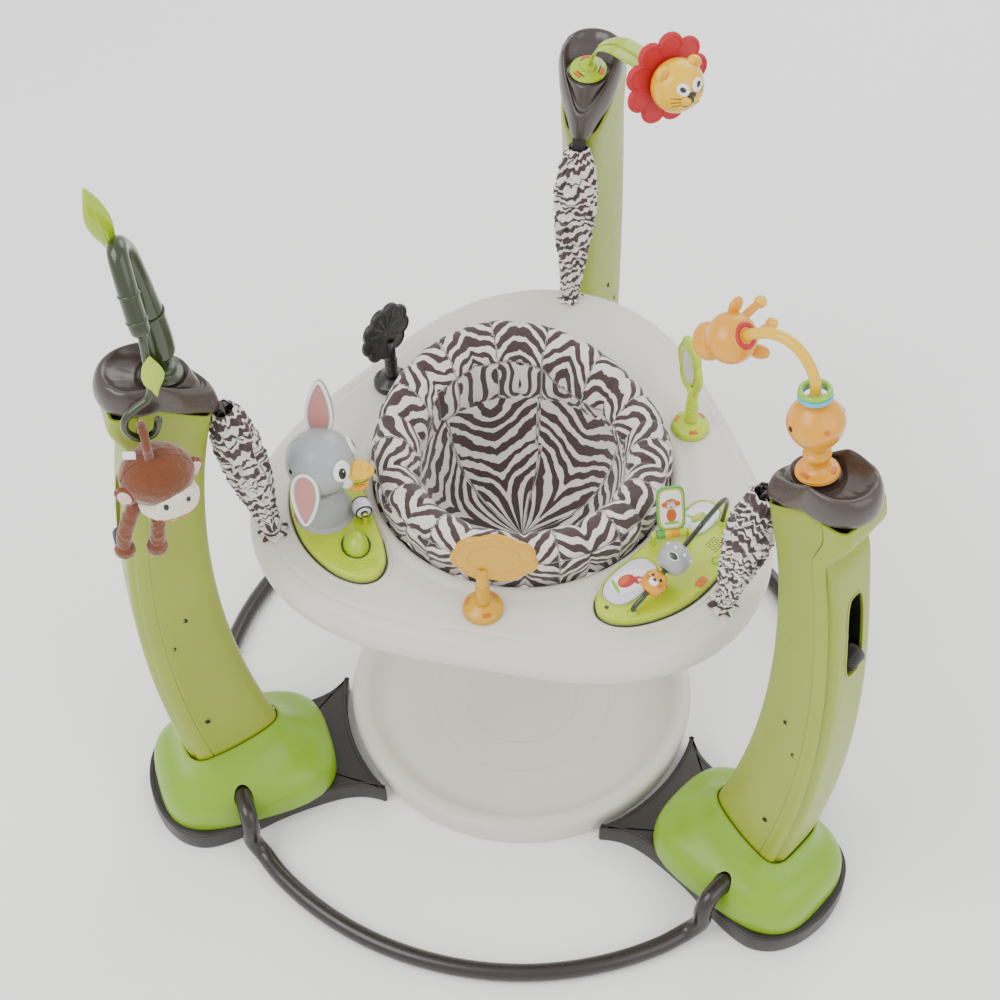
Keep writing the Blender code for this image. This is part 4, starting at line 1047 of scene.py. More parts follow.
def pad_cloth(co):
    """Mirrored at each seam, so that the stripes meet in chevrons."""
    a = atan2(co.y, co.x)
    step = 2 * pi / PANELS
    panel = a / step
    off = abs((panel + 0.5) % 1.0 - 0.5) * step * 0.17
    angle = pad_section(a, co)
    pair = round(panel) % PANELS
    if angle < 0.62:
        return Vector((off, angle * 0.036, pair * 0.31))
    return Vector((0.04 - off, angle * 0.030, pair * 0.31 + 0.15))


SLING = [(0.1262, 0.4900), (0.1215, 0.4680), (0.1165, 0.4480), (0.1080, 0.4250), (0.0990, 0.4070),
         (0.0840, 0.3900), (0.0640, 0.3760), (0.0400, 0.3660), (0.0150, 0.3610), (0.0, 0.3600)]


def sling_radius(z):
    for (r1, z1), (r2, z2) in zip(SLING, SLING[1:]):
        if z1 >= z >= z2:
            return r2 + (r1 - r2) * (z - z2) / (z1 - z2)
    return SLING[0][0]


def make_sling():
    """The hanging cloth bucket with two bound leg holes."""
    line = spline(SLING, 5)
    count = 128
    rings = []
    for radius, z in line[:-1]:
        ring = []
        for i in range(count):
            a = 2 * pi * i / count
            sag = 0.0016 * noise.noise(Vector((cos(a) * 2, sin(a) * 2, z * 40)))
            ring.append(((radius + sag) * cos(a), (radius + sag) * sin(a), z + sag * 0.5))
        rings.append(ring)
    sling = skin("seat_sling", rings, caps=(False, True))
    modifier(sling, "SOLIDIFY", thickness=0.0022, offset=0.0)
    bpy.context.view_layer.update()
    apply_modifiers(sling)
    for sign, end in ((1, "left"), (-1, "right")):
        a = SEAT_FRONT + sign * radians(36)
        axis = Vector((cos(a), sin(a), -0.35)).normalized()
        start = Vector((0.10 * cos(a), 0.10 * sin(a), 0.405))
        hole = lathe("leg_hole", [(0.041, -0.08), (0.041, 0.08)], 56, place=at(start, axis), rounds=1)
        cut(sling, hole)
        up = axis.orthogonal().normalized()
        across = axis.cross(up)
        binding = []
        for k in range(48):
            b = 2 * pi * k / 48
            base = start + (up * cos(b) + across * sin(b)) * 0.041
            low, high = -0.10, 0.08
            for _ in range(24):
                mid = (low + high) / 2
                spot = base + axis * mid
                inside = (spot.x ** 2 + spot.y ** 2) ** 0.5 < sling_radius(spot.z) and spot.z > 0.36
                low, high = (mid, high) if inside else (low, mid)
            binding.append(base + axis * low)
        piece = tube("leg_binding_" + end, binding, 0.0024, closed=True, sides=10, steps=1)
        set_cloth(piece, lambda co: Vector((co.z, atan2(co.y, co.x) * 0.1, 0.4)))
        dress(piece, WEBBING, "seat")
    set_cloth(sling, sling_cloth)
    dress(sling, SEAT_ZEBRA, "seat")


def sling_cloth(co):
    a = atan2(co.y, co.x)
    step = 2 * pi / 6
    off = abs((a / step + 0.5) % 1.0 - 0.5) * step * 0.10
    return Vector((off, -co.z + 0.3, round(a / step) % 6 * 0.23 + 0.5))


# ---- small parts that the toys share ----
def on_ball(place, radii, way):
    """A placement on an ellipsoid's surface in that direction, with Z pointing out."""
    reach = sum((w / r) ** 2 for w, r in zip(way, radii)) ** -0.5
    spot = Vector([w * reach for w in way])
    return place @ at(spot, [c / (r * r) for c, r in zip(spot, radii)])


def trace(name, ways, place, radii, thickness, material, body):
    """A thin raised line over an ellipsoid."""
    points = [on_ball(Matrix(), radii, way).translation for way in ways]
    dress(tube(name, points, thickness, place, sides=8, steps=5), material, body)


def patch(name, radii, place, material, body):
    return dress(ball(name, radii, place, 24), material, body)


def dome(name, radii, place, low=0.0):
    """An ellipsoid's upper part, cut flat at this share of its height."""
    start = asin(low)
    profile = [(0.0, low)] + [(cos(a), sin(a)) for a in
                              (start + (pi / 2 - start) * k / 16 for k in range(17))]
    return lathe(name, profile, 56, place @ Matrix.Diagonal((*radii, 1.0)), rounds=1)


def ring_of(radius, count=40):
    return [(radius * cos(2 * pi * k / count), radius * sin(2 * pi * k / count), 0.0)
            for k in range(count)]


def lobed(half_x, half_y, lobes, depth, start=0.0, count=108):
    """A closed outline of round lobes that meet in creases."""
    points = []
    for i in range(count):
        a = 2 * pi * i / count
        reach = 1 - depth + depth * abs(sin(lobes * (a - start) / 2)) ** 0.7
        points.append(Vector((half_x * reach * cos(a), half_y * reach * sin(a))))
    return points


def stickers(name, shapes, place, body):
    """Printed shapes as thin raised films: (x, y, half x, half y, turn, material)."""
    for k, (x, y, half_x, half_y, angle, material) in enumerate(shapes):
        film = plate("%s_%02d" % (name, k), superellipse(0, 0, half_x, half_y, 2.0, 28), -0.0002,
                     0.0002 + 0.00008 * k, 0.0001, place=place @ at((x, y, 0), spin=radians(angle)))
        dress(film, material, body)


def toy_place(side):
    """The leaning frame of the toy on a tower's cap."""
    return turn(side) @ at((SOCKET_X, 0, SOCKET_Z + 0.001)) @ Matrix.Rotation(LEAN, 4, "Y")


def make_clips(name, place, material):
    """The snap hooks of a toy's foot, in their L-shaped cut-outs."""
    for k, angle in enumerate((20, 140, 260)):
        spot = place @ Matrix.Rotation(radians(angle), 4, "Z")
        hook = plate("%s_clip_%d" % (name, k), superellipse(0.0175, 0, 0.0026, 0.0052, 4, 24),
                     -0.0012, 0.0014, 0.0006, place=spot)
        dress(hook, material, "stand" if name in ("giraffe", "lion") else "tray_assembly")
        # Painted shade: a thin dark film stands for the shade in each clip's cut-out.
        slit = plate("%s_slit_%d" % (name, k), superellipse(0.0138, 0.0018, 0.0008, 0.0062, 4, 24),
                     -0.0012, 0.0004, 0.0002, place=spot)
        dress(slit, HOLE_SHADE, "stand" if name in ("giraffe", "lion") else "tray_assembly")


# ---- toy stations ----
STATION_HALF = [(0.1905, 0.0), (0.191, 0.035), (0.192, 0.065), (0.197, 0.093), (0.212, 0.109),
                (0.232, 0.108), (0.252, 0.092), (0.268, 0.066), (0.279, 0.034), (0.2825, 0.0)]


def make_station(side, label, node, pockets=()):
    """A lime housing in a moulded recess of the tray, with pockets for what is pressed in."""
    outline = spline(mirrored(STATION_HALF), 5, closed=True)
    place = turn(side)
    shell = plate(label + "_housing", outline, TRAY_TOP + 0.0003, STATION_TOP, 0.0032)
    for pocket in pockets:
        rings = [[(p.x, p.y, z) for p in moved_outline(pocket, 0.0006)]
                 for z in (STATION_TOP - 0.0062, STATION_TOP + 0.0030)]
        cut(shell, skin("pocket_cutter", rings))
    shell.data.transform(place)
    dress(shell, LIME, "tray_assembly", [node])
    # Painted shade: the dark "gap" ring stands for the shade in the gap round the housing; the cream "recess"
    # ring is the tray's moulding.
    for part, amount, width, bottom, height, material in (
            ("gap", 0.0008, 0.0026, TRAY_TOP - 0.0004, 0.0014, OLIVE_AND_HOLE_SHADE),
            ("recess", 0.0050, 0.0062, TRAY_TOP - 0.0014, 0.0030, CREAM)):
        piece = hoop("%s_%s" % (label, part), moved_outline(outline, amount), width, bottom, height,
                     place)
        dress(piece, material, "tray_assembly")
    clip = plate(label + "_clip", superellipse(0.2755, 0.0, 0.0050, 0.0080, 4, 24),
                 STATION_TOP - 0.001, STATION_TOP + 0.0014, 0.0008, place=place)
    dress(clip, AMBER, "tray_assembly")


SKULL = (0.040, 0.040, 0.0395)


def make_elephant():
    make_station("left", "elephant", "elephant_station")
    place = turn("left")
    neck = lathe("elephant_neck", [(0.0, STATION_TOP - 0.001), (0.0335, STATION_TOP - 0.001),
                                   (0.0338, 0.4985), (0.0316, 0.5015), (0.0300, 0.5100),
                                   (0.0268, 0.5240), (0.0232, 0.5370), (0.0200, 0.5440),
                                   (0.0, 0.5444)], place=place @ at((0.2445, 0, 0)))
    dress(neck, GREY, "tray_assembly")
    spot = place @ at((0.2235, 0.062, STATION_TOP))
    # Painted shade: the dark "well" ring stands for the shade in the gap round the lever.
    for part, outline, width, material in (
            ("well", superellipse(0, 0, 0.0162, 0.0200, 2, 48), 0.0022, OLIVE_AND_HOLE_SHADE),
            ("collar", superellipse(0, 0, 0.0182, 0.0220, 2, 48), 0.0026, LIME_DEEP)):
        piece = hoop("lever_" + part, outline, width, -0.0006, 0.0016, spot)
        dress(piece, material, "tray_assembly")
    lever = dome("lever_dome", (0.0148, 0.0188, 0.0188), spot, low=-0.12)
    dress(lever, LIME_DEEP, "lever", ["elephant_lever"])
    for k in range(3):
        y, low, high = 0.0865 + 0.0056 * k, 0.2060 + 0.001 * k, 0.2520 - 0.0065 * k
        wave = [(low + (high - low) * s / 12, y + 0.0013 * sin(2 * pi * s / 6), STATION_TOP)
                for s in range(13)]
        line = tube("station_wave_%d" % k, wave, 0.0010, place, sides=10, steps=4)
        dress(line, LIME_DEEP, "tray_assembly")
    make_roller(place)
    make_elephant_head(place @ at((0.2445, 0, 0.5850)) @ Matrix.Rotation(radians(150), 4, "Z"))


def make_roller(place):
    axle = place @ at((0.2040, 0.0205, 0.5115), (0, 1, 0))
    half = [(0.0042, 0.0098), (0.0078, 0.0094), (0.0102, 0.0066), (0.0114, 0.0022)]
    profile = half + [(r, -z) for r, z in reversed(half)] + [(0.0042, 0.0)]
    dress(lathe("roller_bead", profile, 48, axle, closed=True), LILAC, "roller",
          ["elephant_roller"])
    for sign, end in ((1, "front"), (-1, "back")):
        edge = tube("roller_edge_" + end, ring_of(0.0092), 0.0012, axle @ at((0, 0, sign * 0.0082)),
                    closed=True, sides=8, steps=1)
        dress(edge, BLACK, "roller")
    pin = tube("roller_axle", [(0, 0, -0.0118), (0, 0, 0.0), (0, 0, 0.0130)], 0.0033, axle)
    dress(pin, BLACK, "tray_assembly")
    post = tube("roller_post", [(0.2040, 0.0335, STATION_TOP - 0.002), (0.2040, 0.0335, 0.505),
                                (0.2040, 0.0335, 0.5122)], 0.0030, place)
    dress(post, LIME, "tray_assembly")


def make_elephant_head(head):
    """The face looks along the frame's +X."""
    dress(ball("elephant_skull", SKULL, head, 64), GREY, "elephant",
          ["elephant_head"])
    for name, spot, lean, tip in (("near", (-0.006, -0.0425, -0.020), -12, -1),
                                  ("far", (-0.006, 0.034, 0.052), -15, 1)):
        ear = (head @ at(spot) @ Matrix.Rotation(radians(lean), 4, "X")
               @ Matrix.Rotation(pi / 2, 4, "X"))
        outline = [Vector((0.0168 * cos(a) * (1 - 0.30 * tip * sin(a)), 0.0375 * sin(a)))
                   for a in (2 * pi * k / 56 for k in range(56))]
        shell = plate("ear_shell_" + name, outline, -0.0038, 0.0030, 0.0030, place=ear)
        dress(shell, GREY, "elephant")
        rim = hoop("ear_rim_" + name, moved_outline(outline, -0.0024), 0.0040, 0.0012, 0.0034, ear)
        dress(rim, WHITE, "elephant")
        lining = plate("ear_lining_" + name, moved_outline(outline, -0.0056), 0.0016, 0.0036,
                       0.0010, dome=-0.0003, place=ear)
        dress(lining, PINK, "elephant")
    for side, end in ((-1, "near"), (1, "far")):
        eye = on_ball(head, SKULL, (1.0, side * 0.62, 0.36))
        patch("eye_white_" + end, (0.0118, 0.0140, 0.0036), eye, WHITE, "elephant")
        pupil = eye @ at((side * 0.0016, -0.001, 0.0026))
        patch("eye_pupil_" + end, (0.0054, 0.0078, 0.0018), pupil, BLACK, "elephant")
        glint = pupil @ at((0.0012, 0.0024, 0.0012))
        patch("eye_glint_" + end, (0.0011, 0.0013, 0.0008), glint, WHITE, "elephant")
    for name, radii, spot, material in (
            ("trunk_band", (0.0100, 0.0195, 0.0185), (0.0335, 0, -0.0125), WHITE),
            ("bill_upper", (0.0215, 0.0150, 0.0100), (0.0430, 0, -0.0050), YELLOW),
            ("bill_nub", (0.0060, 0.0055, 0.0045), (0.0540, 0, 0.0025), YELLOW),
            ("bill_tongue", (0.0170, 0.0108, 0.0052), (0.0400, 0, -0.0175), LIME),
            ("bill_stripe", (0.0176, 0.0113, 0.0013), (0.0400, 0, -0.0168), BLACK),
            ("bill_lower", (0.0180, 0.0128, 0.0050), (0.0390, 0, -0.0275), ORANGE)):
        patch(name, radii, head @ at(spot), material, "elephant")
    seam = [(cos(a), 0.0, sin(a)) for a in (radians(65 + 10 * k) for k in range(20))]
    trace("head_seam", seam, head, SKULL, 0.00045, GREY, "elephant")
    screw = on_ball(head, SKULL, (-0.75, -0.9, 0.25))
    # Painted shade: a dark film stands for the shade in the screw hole.
    patch("head_screw_hole", (0.0030, 0.0030, 0.0006), screw, HOLE_SHADE, "elephant")


# ---- picture board ----
WIRE_LOW, WIRE_HIGH = Vector((0.2475, -0.0740, 0.5130)), Vector((0.2500, 0.0300, 0.5560))
BIRD = [(0.0, 0.0, 0.0150, 0.0255, 0, WHITE), (-0.001, -0.004, 0.0085, 0.0115, 18, RED_PRINT),
        (0.003, 0.009, 0.0058, 0.0058, 0, RED_PRINT), (-0.003, -0.006, 0.0040, 0.0085, 28, BROWN_PRINT),
        (0.0095, 0.009, 0.0032, 0.0015, 0, YELLOW), (0.0035, 0.0105, 0.0022, 0.0022, 0, WHITE),
        (0.0040, 0.0107, 0.0009, 0.0011, 0, BLACK), (0.001, -0.019, 0.0110, 0.0022, 0, LEAF_GREEN)]
LIZARD = [(0.0, 0.0, 0.0135, 0.0180, 0, WHITE), (0.0, -0.002, 0.0052, 0.0110, 20, LEAF_GREEN),
          (0.004, 0.007, 0.0060, 0.0042, 10, LEAF_GREEN), (-0.005, -0.010, 0.0070, 0.0016, 40, LEAF_GREEN),
          (0.007, -0.001, 0.0050, 0.0013, -20, LEAF_GREEN), (-0.001, -0.002, 0.0022, 0.0070, 20, YELLOW),
          (0.0025, 0.0095, 0.0021, 0.0021, 0, WHITE), (0.0075, 0.0090, 0.0021, 0.0021, 0, WHITE),
          (0.0027, 0.0095, 0.0009, 0.0009, 0, BLACK), (0.0077, 0.0090, 0.0009, 0.0009, 0, BLACK)]
PAGE_MONKEY = [(0.0, -0.008, 0.0058, 0.0085, 0, BROWN_PRINT), (0.0, 0.006, 0.0078, 0.0068, 0, BROWN_PRINT),
               (-0.0082, 0.006, 0.0030, 0.0030, 0, BROWN_PRINT), (0.0082, 0.006, 0.0030, 0.0030, 0, BROWN_PRINT),
               (0.0, 0.0035, 0.0052, 0.0038, 0, CREAM), (-0.0024, 0.0075, 0.0021, 0.0022, 0, CREAM),
               (0.0024, 0.0075, 0.0021, 0.0022, 0, CREAM), (-0.0022, 0.0074, 0.0008, 0.0009, 0, BLACK),
               (0.0022, 0.0074, 0.0008, 0.0009, 0, BLACK), (0.0, 0.0025, 0.0024, 0.0006, 0, BLACK),
               (0.0, -0.0175, 0.0090, 0.0016, 0, LEAF_GREEN)]


def make_board():
    panels = [("inner", 0.2140, -0.0540, superellipse(0.2140, -0.0540, 0.0210, 0.0380, 2.6, 64), BIRD),
              ("outer", 0.2140, 0.0740, superellipse(0.2140, 0.0740, 0.0185, 0.0265, 2.6, 64),
               LIZARD)]
    make_station("right", "board", "board_housing",
                 [panel[3] for panel in panels] + [superellipse(0.2690, 0.0361, 0.0046, 0.0046, 2, 32)])
    place = turn("right")
    for name, x, y, shape, picture in panels:
        lens = plate("light_lens_" + name, shape, STATION_TOP - 0.0033, STATION_TOP + 0.0018,
                     0.0016, place=place)
        dress(lens, LILAC, "button_" + name, ["light_button_" + name])
        rim = hoop("light_rim_" + name, moved_outline(shape, 0.0020), 0.0026, STATION_TOP - 0.0007,
                   0.0016, place)
        dress(rim, LIME_DEEP, "tray_assembly")
        stickers("light_picture_" + name, picture,
                 place @ at((x, y, STATION_TOP + 0.0018), spin=radians(-25)), "button_" + name)
    mode = place @ at((0.2690, 0.0361, STATION_TOP))
    button = lathe("mode_cap", [(0.0, -0.0025), (0.0044, -0.0025), (0.0045, 0.0006), (0.0038, 0.0014),
                                (0.0026, 0.0012), (0.0, 0.0009)], 32, mode, rounds=2)
    dress(button, LIME_DEEP, "button_mode", ["mode_button"])
    ring = tube("mode_ring", ring_of(0.0058, 28), 0.0010, mode, closed=True, sides=8, steps=1)
    dress(ring, LIME_DEEP, "tray_assembly")
    # Painted shade: dark olive dots stand for the shade in the speaker holes and the screw hole.
    for k in range(25):
        spot = place @ at((0.2450 + 0.0036 * (k % 5), 0.0470 + 0.0036 * (k // 5), STATION_TOP))
        patch("speaker_hole_%02d" % k, (0.0010, 0.0010, 0.0003), spot, OLIVE_AND_HOLE_SHADE, "tray_assembly")
    screw = place @ at((0.2180, -0.1000, STATION_TOP))
    patch("board_screw_hole", (0.0028, 0.0028, 0.0004), screw, OLIVE_AND_HOLE_SHADE, "tray_assembly")
    make_page(place @ at((0.2114, 0.0239, 0.5115)) @ Matrix.Rotation(radians(51.2), 4, "Z"))
    make_bead_wire(place)


def make_page(hinge):
    for sign, end in ((1, "a"), (-1, "b")):
        post = plate("page_post_" + end, superellipse(sign * 0.0215, 0, 0.0029, 0.0044, 4, 28),
                     -0.0178, 0.0020, 0.0012, place=hinge)
        dress(post, LIME, "tray_assembly")
    pin = tube("page_pin", [(-0.0235, 0, 0), (0, 0, 0), (0.0235, 0, 0)], 0.0018, hinge)
    dress(pin, ORANGE, "tray_assembly")
    page = hinge @ Matrix.Rotation(radians(66), 4, "X")
    for k, material in enumerate((FRAME_GREEN, YELLOW, ORANGE, LIME)):
        low = -0.0174 + 0.0087 * k
        barrel = lathe("page_barrel_%d" % k, [(0.0023, low), (0.0050, low), (0.0055, low + 0.0007),
                                              (0.0055, low + 0.0079), (0.0050, low + 0.0086),
                                              (0.0023, low + 0.0086)], 32,
                       page @ at((0, 0, 0), (1, 0, 0)), closed=True, rounds=1)
        dress(barrel, material, "page")
    leaf = plate("page_leaf", superellipse(0, 0.032, 0.0169, 0.0278, 5, 64), -0.00165, 0.00165,
                 0.0009, place=page)
    dress(leaf, FRAME_GREEN, "page", ["flip_page"])
    edge = hoop("page_edge", superellipse(0, 0.032, 0.0140, 0.0247, 5, 64), 0.0024, -0.00205,
                0.0041, page)
    dress(edge, YELLOW, "page")
    for sign, end in ((0, "front"), (1, "back")):
        side = page @ at((0, 0.032, 0)) @ Matrix.Rotation(pi * sign, 4, "Y")
        face = plate("page_face_" + end, superellipse(0, 0, 0.0130, 0.0237, 4.5, 56), 0.0009, 0.0018,
                     0.0003, place=side)
        dress(face, WHITE, "page")
        stickers("page_picture_" + end, PAGE_MONKEY, side @ at((0, 0, 0.0018)), "page")


def make_bead_wire(place):
    straight = [tuple(WIRE_LOW.lerp(WIRE_HIGH, share)) for share in (0, 0.08, 0.35, 0.65, 0.92, 1)]
    points = ([(0.2445, -0.0860, STATION_TOP - 0.002), (0.2450, -0.0845, 0.5050)] + straight
              + [(0.2480, 0.0620, 0.5590), (0.2463, 0.0760, 0.5530), (0.2440, 0.0825, 0.5370),
                 (0.2400, 0.0855, 0.5150), (0.2376, 0.0864, STATION_TOP - 0.002)])
    dress(tube("bead_wire", points, 0.0030, place, sides=16), OLIVE_AND_HOLE_SHADE, "tray_assembly")
    for k, (x, y) in enumerate(((0.2445, -0.0860), (0.2376, 0.0864))):
        foot = lathe("wire_foot_%d" % k, [(0.0, 0.0), (0.0062, 0.0), (0.0062, 0.0012), (0.0042, 0.0030),
                                          (0.0032, 0.0042), (0.0, 0.0042)], 32,
                     place @ at((x, y, STATION_TOP - 0.0003)), rounds=2)
        dress(foot, LIME_DEEP, "tray_assembly")
    for name, share, radius, material, slot in (("tiger", 0.20, 0.0150, ORANGE, "orange_plastic"),
                                                ("grey", 0.52, 0.0190, GREY, "grey_plastic")):
        spot = place @ at(WIRE_LOW.lerp(WIRE_HIGH, share), WIRE_HIGH - WIRE_LOW)
        high = radius * 0.86
        half = [(0.0049, high), (radius * 0.62, high * 0.93), (radius * 0.90, high * 0.55)]
        profile = (half + [(radius, 0.0)] + [(r, -z) for r, z in reversed(half)] + [(0.0047, 0.0)])
        body = "tiger" if name == "tiger" else "grey_bead"
        dress(lathe(name + "_bead", profile, 56, spot, closed=True), material, body,
              ["bead_" + name])
        radii = (radius, radius, high)
        if name == "tiger":
            decorate_tiger(spot, radii)
        else:
            decorate_grey(spot, radii)


def around(angle, rise):
    return (cos(radians(angle)), sin(radians(angle)), rise)


def decorate_tiger(spot, radii):
    front = 105
    for k in range(12):
        stripe = around(front + 75 + 42 * (k % 6), 0.5 if k < 6 else -0.5)
        patch("tiger_stripe_%d" % k, (0.0012, 0.0040, 0.0007), on_ball(spot, radii, stripe), BLACK,
              "tiger")
    patch("tiger_muzzle", (0.0058, 0.0046, 0.0026), on_ball(spot, radii, around(front, -0.12)), WHITE,
          "tiger")
    patch("tiger_nose", (0.0026, 0.0019, 0.0017),
          on_ball(spot, radii, around(front, 0.02)) @ at((0, 0, 0.0018)), BLACK, "tiger")
    for sign in (1, -1):
        end = "a" if sign > 0 else "b"
        patch("tiger_eye_" + end, (0.0019, 0.0023, 0.0009),
              on_ball(spot, radii, around(front + 22 * sign, 0.32)), BLACK, "tiger")
        patch("tiger_ear_" + end, (0.0042, 0.0042, 0.0030),
              on_ball(spot, radii, around(front + 38 * sign, 0.85)), ORANGE, "tiger")
        for k in range(3):
            trace("tiger_whisker_%s_%d" % (end, k),
                  [around(front + (26 + 6 * s) * sign, -0.25 + 0.12 * k + 0.02 * s) for s in range(4)],
                  spot, radii, 0.00035, BLACK, "tiger")


def decorate_grey(spot, radii):
    for k in range(8):
        out = on_ball(spot, radii, around(45 * k, 0.45))
        cone = lathe("grey_point_%d" % k, [(0.0, -0.0006), (0.0025, -0.0006), (0.0014, 0.0014),
                                           (0.0007, 0.0024), (0.0, 0.0027)], 20, out, rounds=2)
        dress(cone, WHITE, "grey_bead")
    for k, angle in enumerate((-75, 105)):
        # Painted shade: dark olive films stand for the shade inside the bead's slots.
        patch("grey_slot_%d" % k, (0.0058, 0.0034, 0.0007), on_ball(spot, radii, around(angle, -0.1)),
              OLIVE_AND_HOLE_SHADE, "grey_bead")
        rim = tube("grey_slot_rim_%d" % k, [(0.0064 * cos(a), 0.0040 * sin(a), 0.0002)
                                            for a in (2 * pi * s / 24 for s in range(24))], 0.0006,
                   on_ball(spot, radii, around(angle, -0.1)), closed=True, sides=8, steps=1)
        dress(rim, WHITE, "grey_bead")


# ---- stalk toys on the tray ----
PANEL_Z = 0.578


def make_stalk_toy(name, angle, yaw, offset, outline, material, body, clip):
    """A foot with a pin, and a flat panel that turns on it; the outline is (along, up)."""
    place = (at((TOY_RADIUS * cos(radians(angle)), TOY_RADIUS * sin(radians(angle)), 0))
             @ Matrix.Rotation(radians(angle + yaw), 4, "Z"))
    foot = lathe(name + "_foot", [(0.0, 0.4843), (0.0230, 0.4843), (0.0235, 0.4852), (0.0233, 0.4900),
                                  (0.0222, 0.4926), (0.0200, 0.4938), (0.0110, 0.4982),
                                  (0.0095, 0.4990), (0.0032, 0.4993), (0.0030, 0.5002),
                                  (0.0030, 0.5210), (0.0022, 0.5218), (0.0, 0.5218)], place=place,
                 rounds=1)
    dress(foot, material, "tray_assembly", [name + "_base"])
    make_clips(name, place @ at((0, 0, 0.4945)), clip)
    hub = lathe(name + "_hub", [(0.0037, 0.5005), (0.0080, 0.5003), (0.0086, 0.5012), (0.0084, 0.5040),
                                (0.0074, 0.5100), (0.0070, 0.5300), (0.0066, 0.5600), (0.0037, 0.5600)],
                40, place, closed=True, rounds=1)
    dress(hub, material, body)
    for k in range(3):
        band = tube("%s_hub_band_%d" % (name, k), ring_of(0.0072, 28), 0.0011,
                    place @ at((0, 0, 0.5150 + 0.0060 * k)), closed=True, sides=8, steps=1)
        dress(band, material, body)
    face = place @ at((0, 0, PANEL_Z)) @ Matrix.Rotation(pi / 2, 4, "Y")
    turned = [Vector((-p.y, p.x + offset)) for p in outline]
    panel = plate(name + "_panel_plate", turned, -0.0026, 0.0026, 0.0012, place=face)
    dress(panel, material, body, [name + "_panel"])
    rim = hoop(name + "_panel_rim", moved_outline(turned, -0.0024), 0.0044, -0.0039, 0.0078, face)
    dress(rim, material, body)
    return face, offset


def make_stalk_toys():
    cloud = lobed(0.0497, 0.0385, 7, 0.10, start=radians(8))
    face, offset = make_stalk_toy("spinner", 270, 8, 0.014, cloud, GOLD,
                                  "spinner", AMBER)
    inner = [Vector((-p.y * 0.62, p.x * 0.62 + offset)) for p in cloud]
    ridge = hoop("spinner_ridge", inner, 0.0016, -0.0032, 0.0064, face)
    dress(ridge, GOLD, "spinner")
    leaf = lobed(0.0397, 0.0425, 9, 0.12, start=radians(10))
    face, offset = make_stalk_toy("black_toy", 150, 0, 0.006, leaf, BLACK,
                                  "black_toy", BLACK)
    for k in range(7):
        a = radians(18 + 24 * k)
        vein = [(-sin(a) * r * 1.05, cos(a) * r + offset, 0.0) for r in (0.004, 0.016, 0.028)]
        dress(tube("black_vein_%d" % k, vein, 0.0036, face, sides=10), BLACK, "black_toy")
    petals = lobed(0.0337, 0.0425, 6, 0.13, start=radians(30))
    face, offset = make_stalk_toy("mirror", 30, 0, 0.014, petals, LIME,
                                  "mirror_toy", AMBER)
    for turned, end in ((0, "out"), (1, "in")):
        side = face @ at((0, offset, 0)) @ Matrix.Rotation(pi * turned, 4, "X")
        glass = plate("mirror_glass_" + end, superellipse(0, 0, 0.0230, 0.0190, 2, 56), 0.0018,
                      0.0033, 0.0004, place=side)
        dress(glass, MIRROR, "mirror_toy")
        bead = hoop("mirror_bezel_" + end, superellipse(0, 0, 0.0238, 0.0198, 2, 56), 0.0026, 0.0018,
                    0.0021, side)
        dress(bead, LIME_DEEP, "mirror_toy")


# ---- toys on the towers ----
def make_giraffe():
    stand = toy_place("right")
    base = lathe("giraffe_bulb", [(0.0, 0.0045), (0.0215, 0.0045), (0.0226, 0.0058), (0.0220, 0.0080),
                                  (0.0150, 0.0105), (0.0108, 0.0145), (0.0098, 0.0200),
                                  (0.0130, 0.0240), (0.0150, 0.0280), (0.0146, 0.0315),
                                  (0.0112, 0.0345), (0.0116, 0.0400), (0.0190, 0.0480),
                                  (0.0264, 0.0580), (0.0298, 0.0690), (0.0296, 0.0765),
                                  (0.0256, 0.0855), (0.0180, 0.0940), (0.0110, 0.0985),
                                  (0.0080, 0.1012), (0.0, 0.1018)], place=stand)
    dress(base, ORANGE, "stand", ["giraffe_base"])
    make_clips("giraffe", stand @ at((0, 0, 0.0092)), AMBER)
    bulb = (0.0300, 0.0300, 0.0300)
    for k, way in enumerate(((-0.35, -0.9, 0.1), (0.5, 0.8, 0.1), (-0.9, 0.3, 0.2), (0.8, -0.5, 0.2))):
        spot = on_ball(stand @ at((0, 0, 0.0725)), bulb, way)
        # Painted shade: the first two holes are dark films for the shade inside them; the others are amber.
        patch("giraffe_hole_%d" % k, (0.0030, 0.0030, 0.0006), spot, HOLE_SHADE if k < 2 else AMBER, "stand")
    for name, height, radius, material in (("blue", 0.1056, 0.0154, BLUE),
                                           ("green", 0.1114, 0.0146, LEAF_GREEN)):
        ring = tube("neck_ring_" + name, ring_of(radius), 0.0029, stand @ at((0, 0, height)),
                    closed=True, sides=16, steps=1)
        dress(ring, material, "neck_rings",
              ["giraffe_rings"] if name == "blue" else ())
    path = [(0.3860, 0, 0.8795), (0.3820, 0, 0.9020), (0.3690, 0, 0.9210), (0.3490, 0, 0.9310),
            (0.3270, 0, 0.9280), (0.3080, 0, 0.9155), (0.2990, 0, 0.9070)]
    dress(tube("giraffe_neck", path, 0.0058, turn("right"), sides=20), YELLOW, "stand",
          ["giraffe_stalk"])
    make_giraffe_head(turn("right") @ at((0.2985, 0, 0.9065), (-0.70, 0, -0.58)))


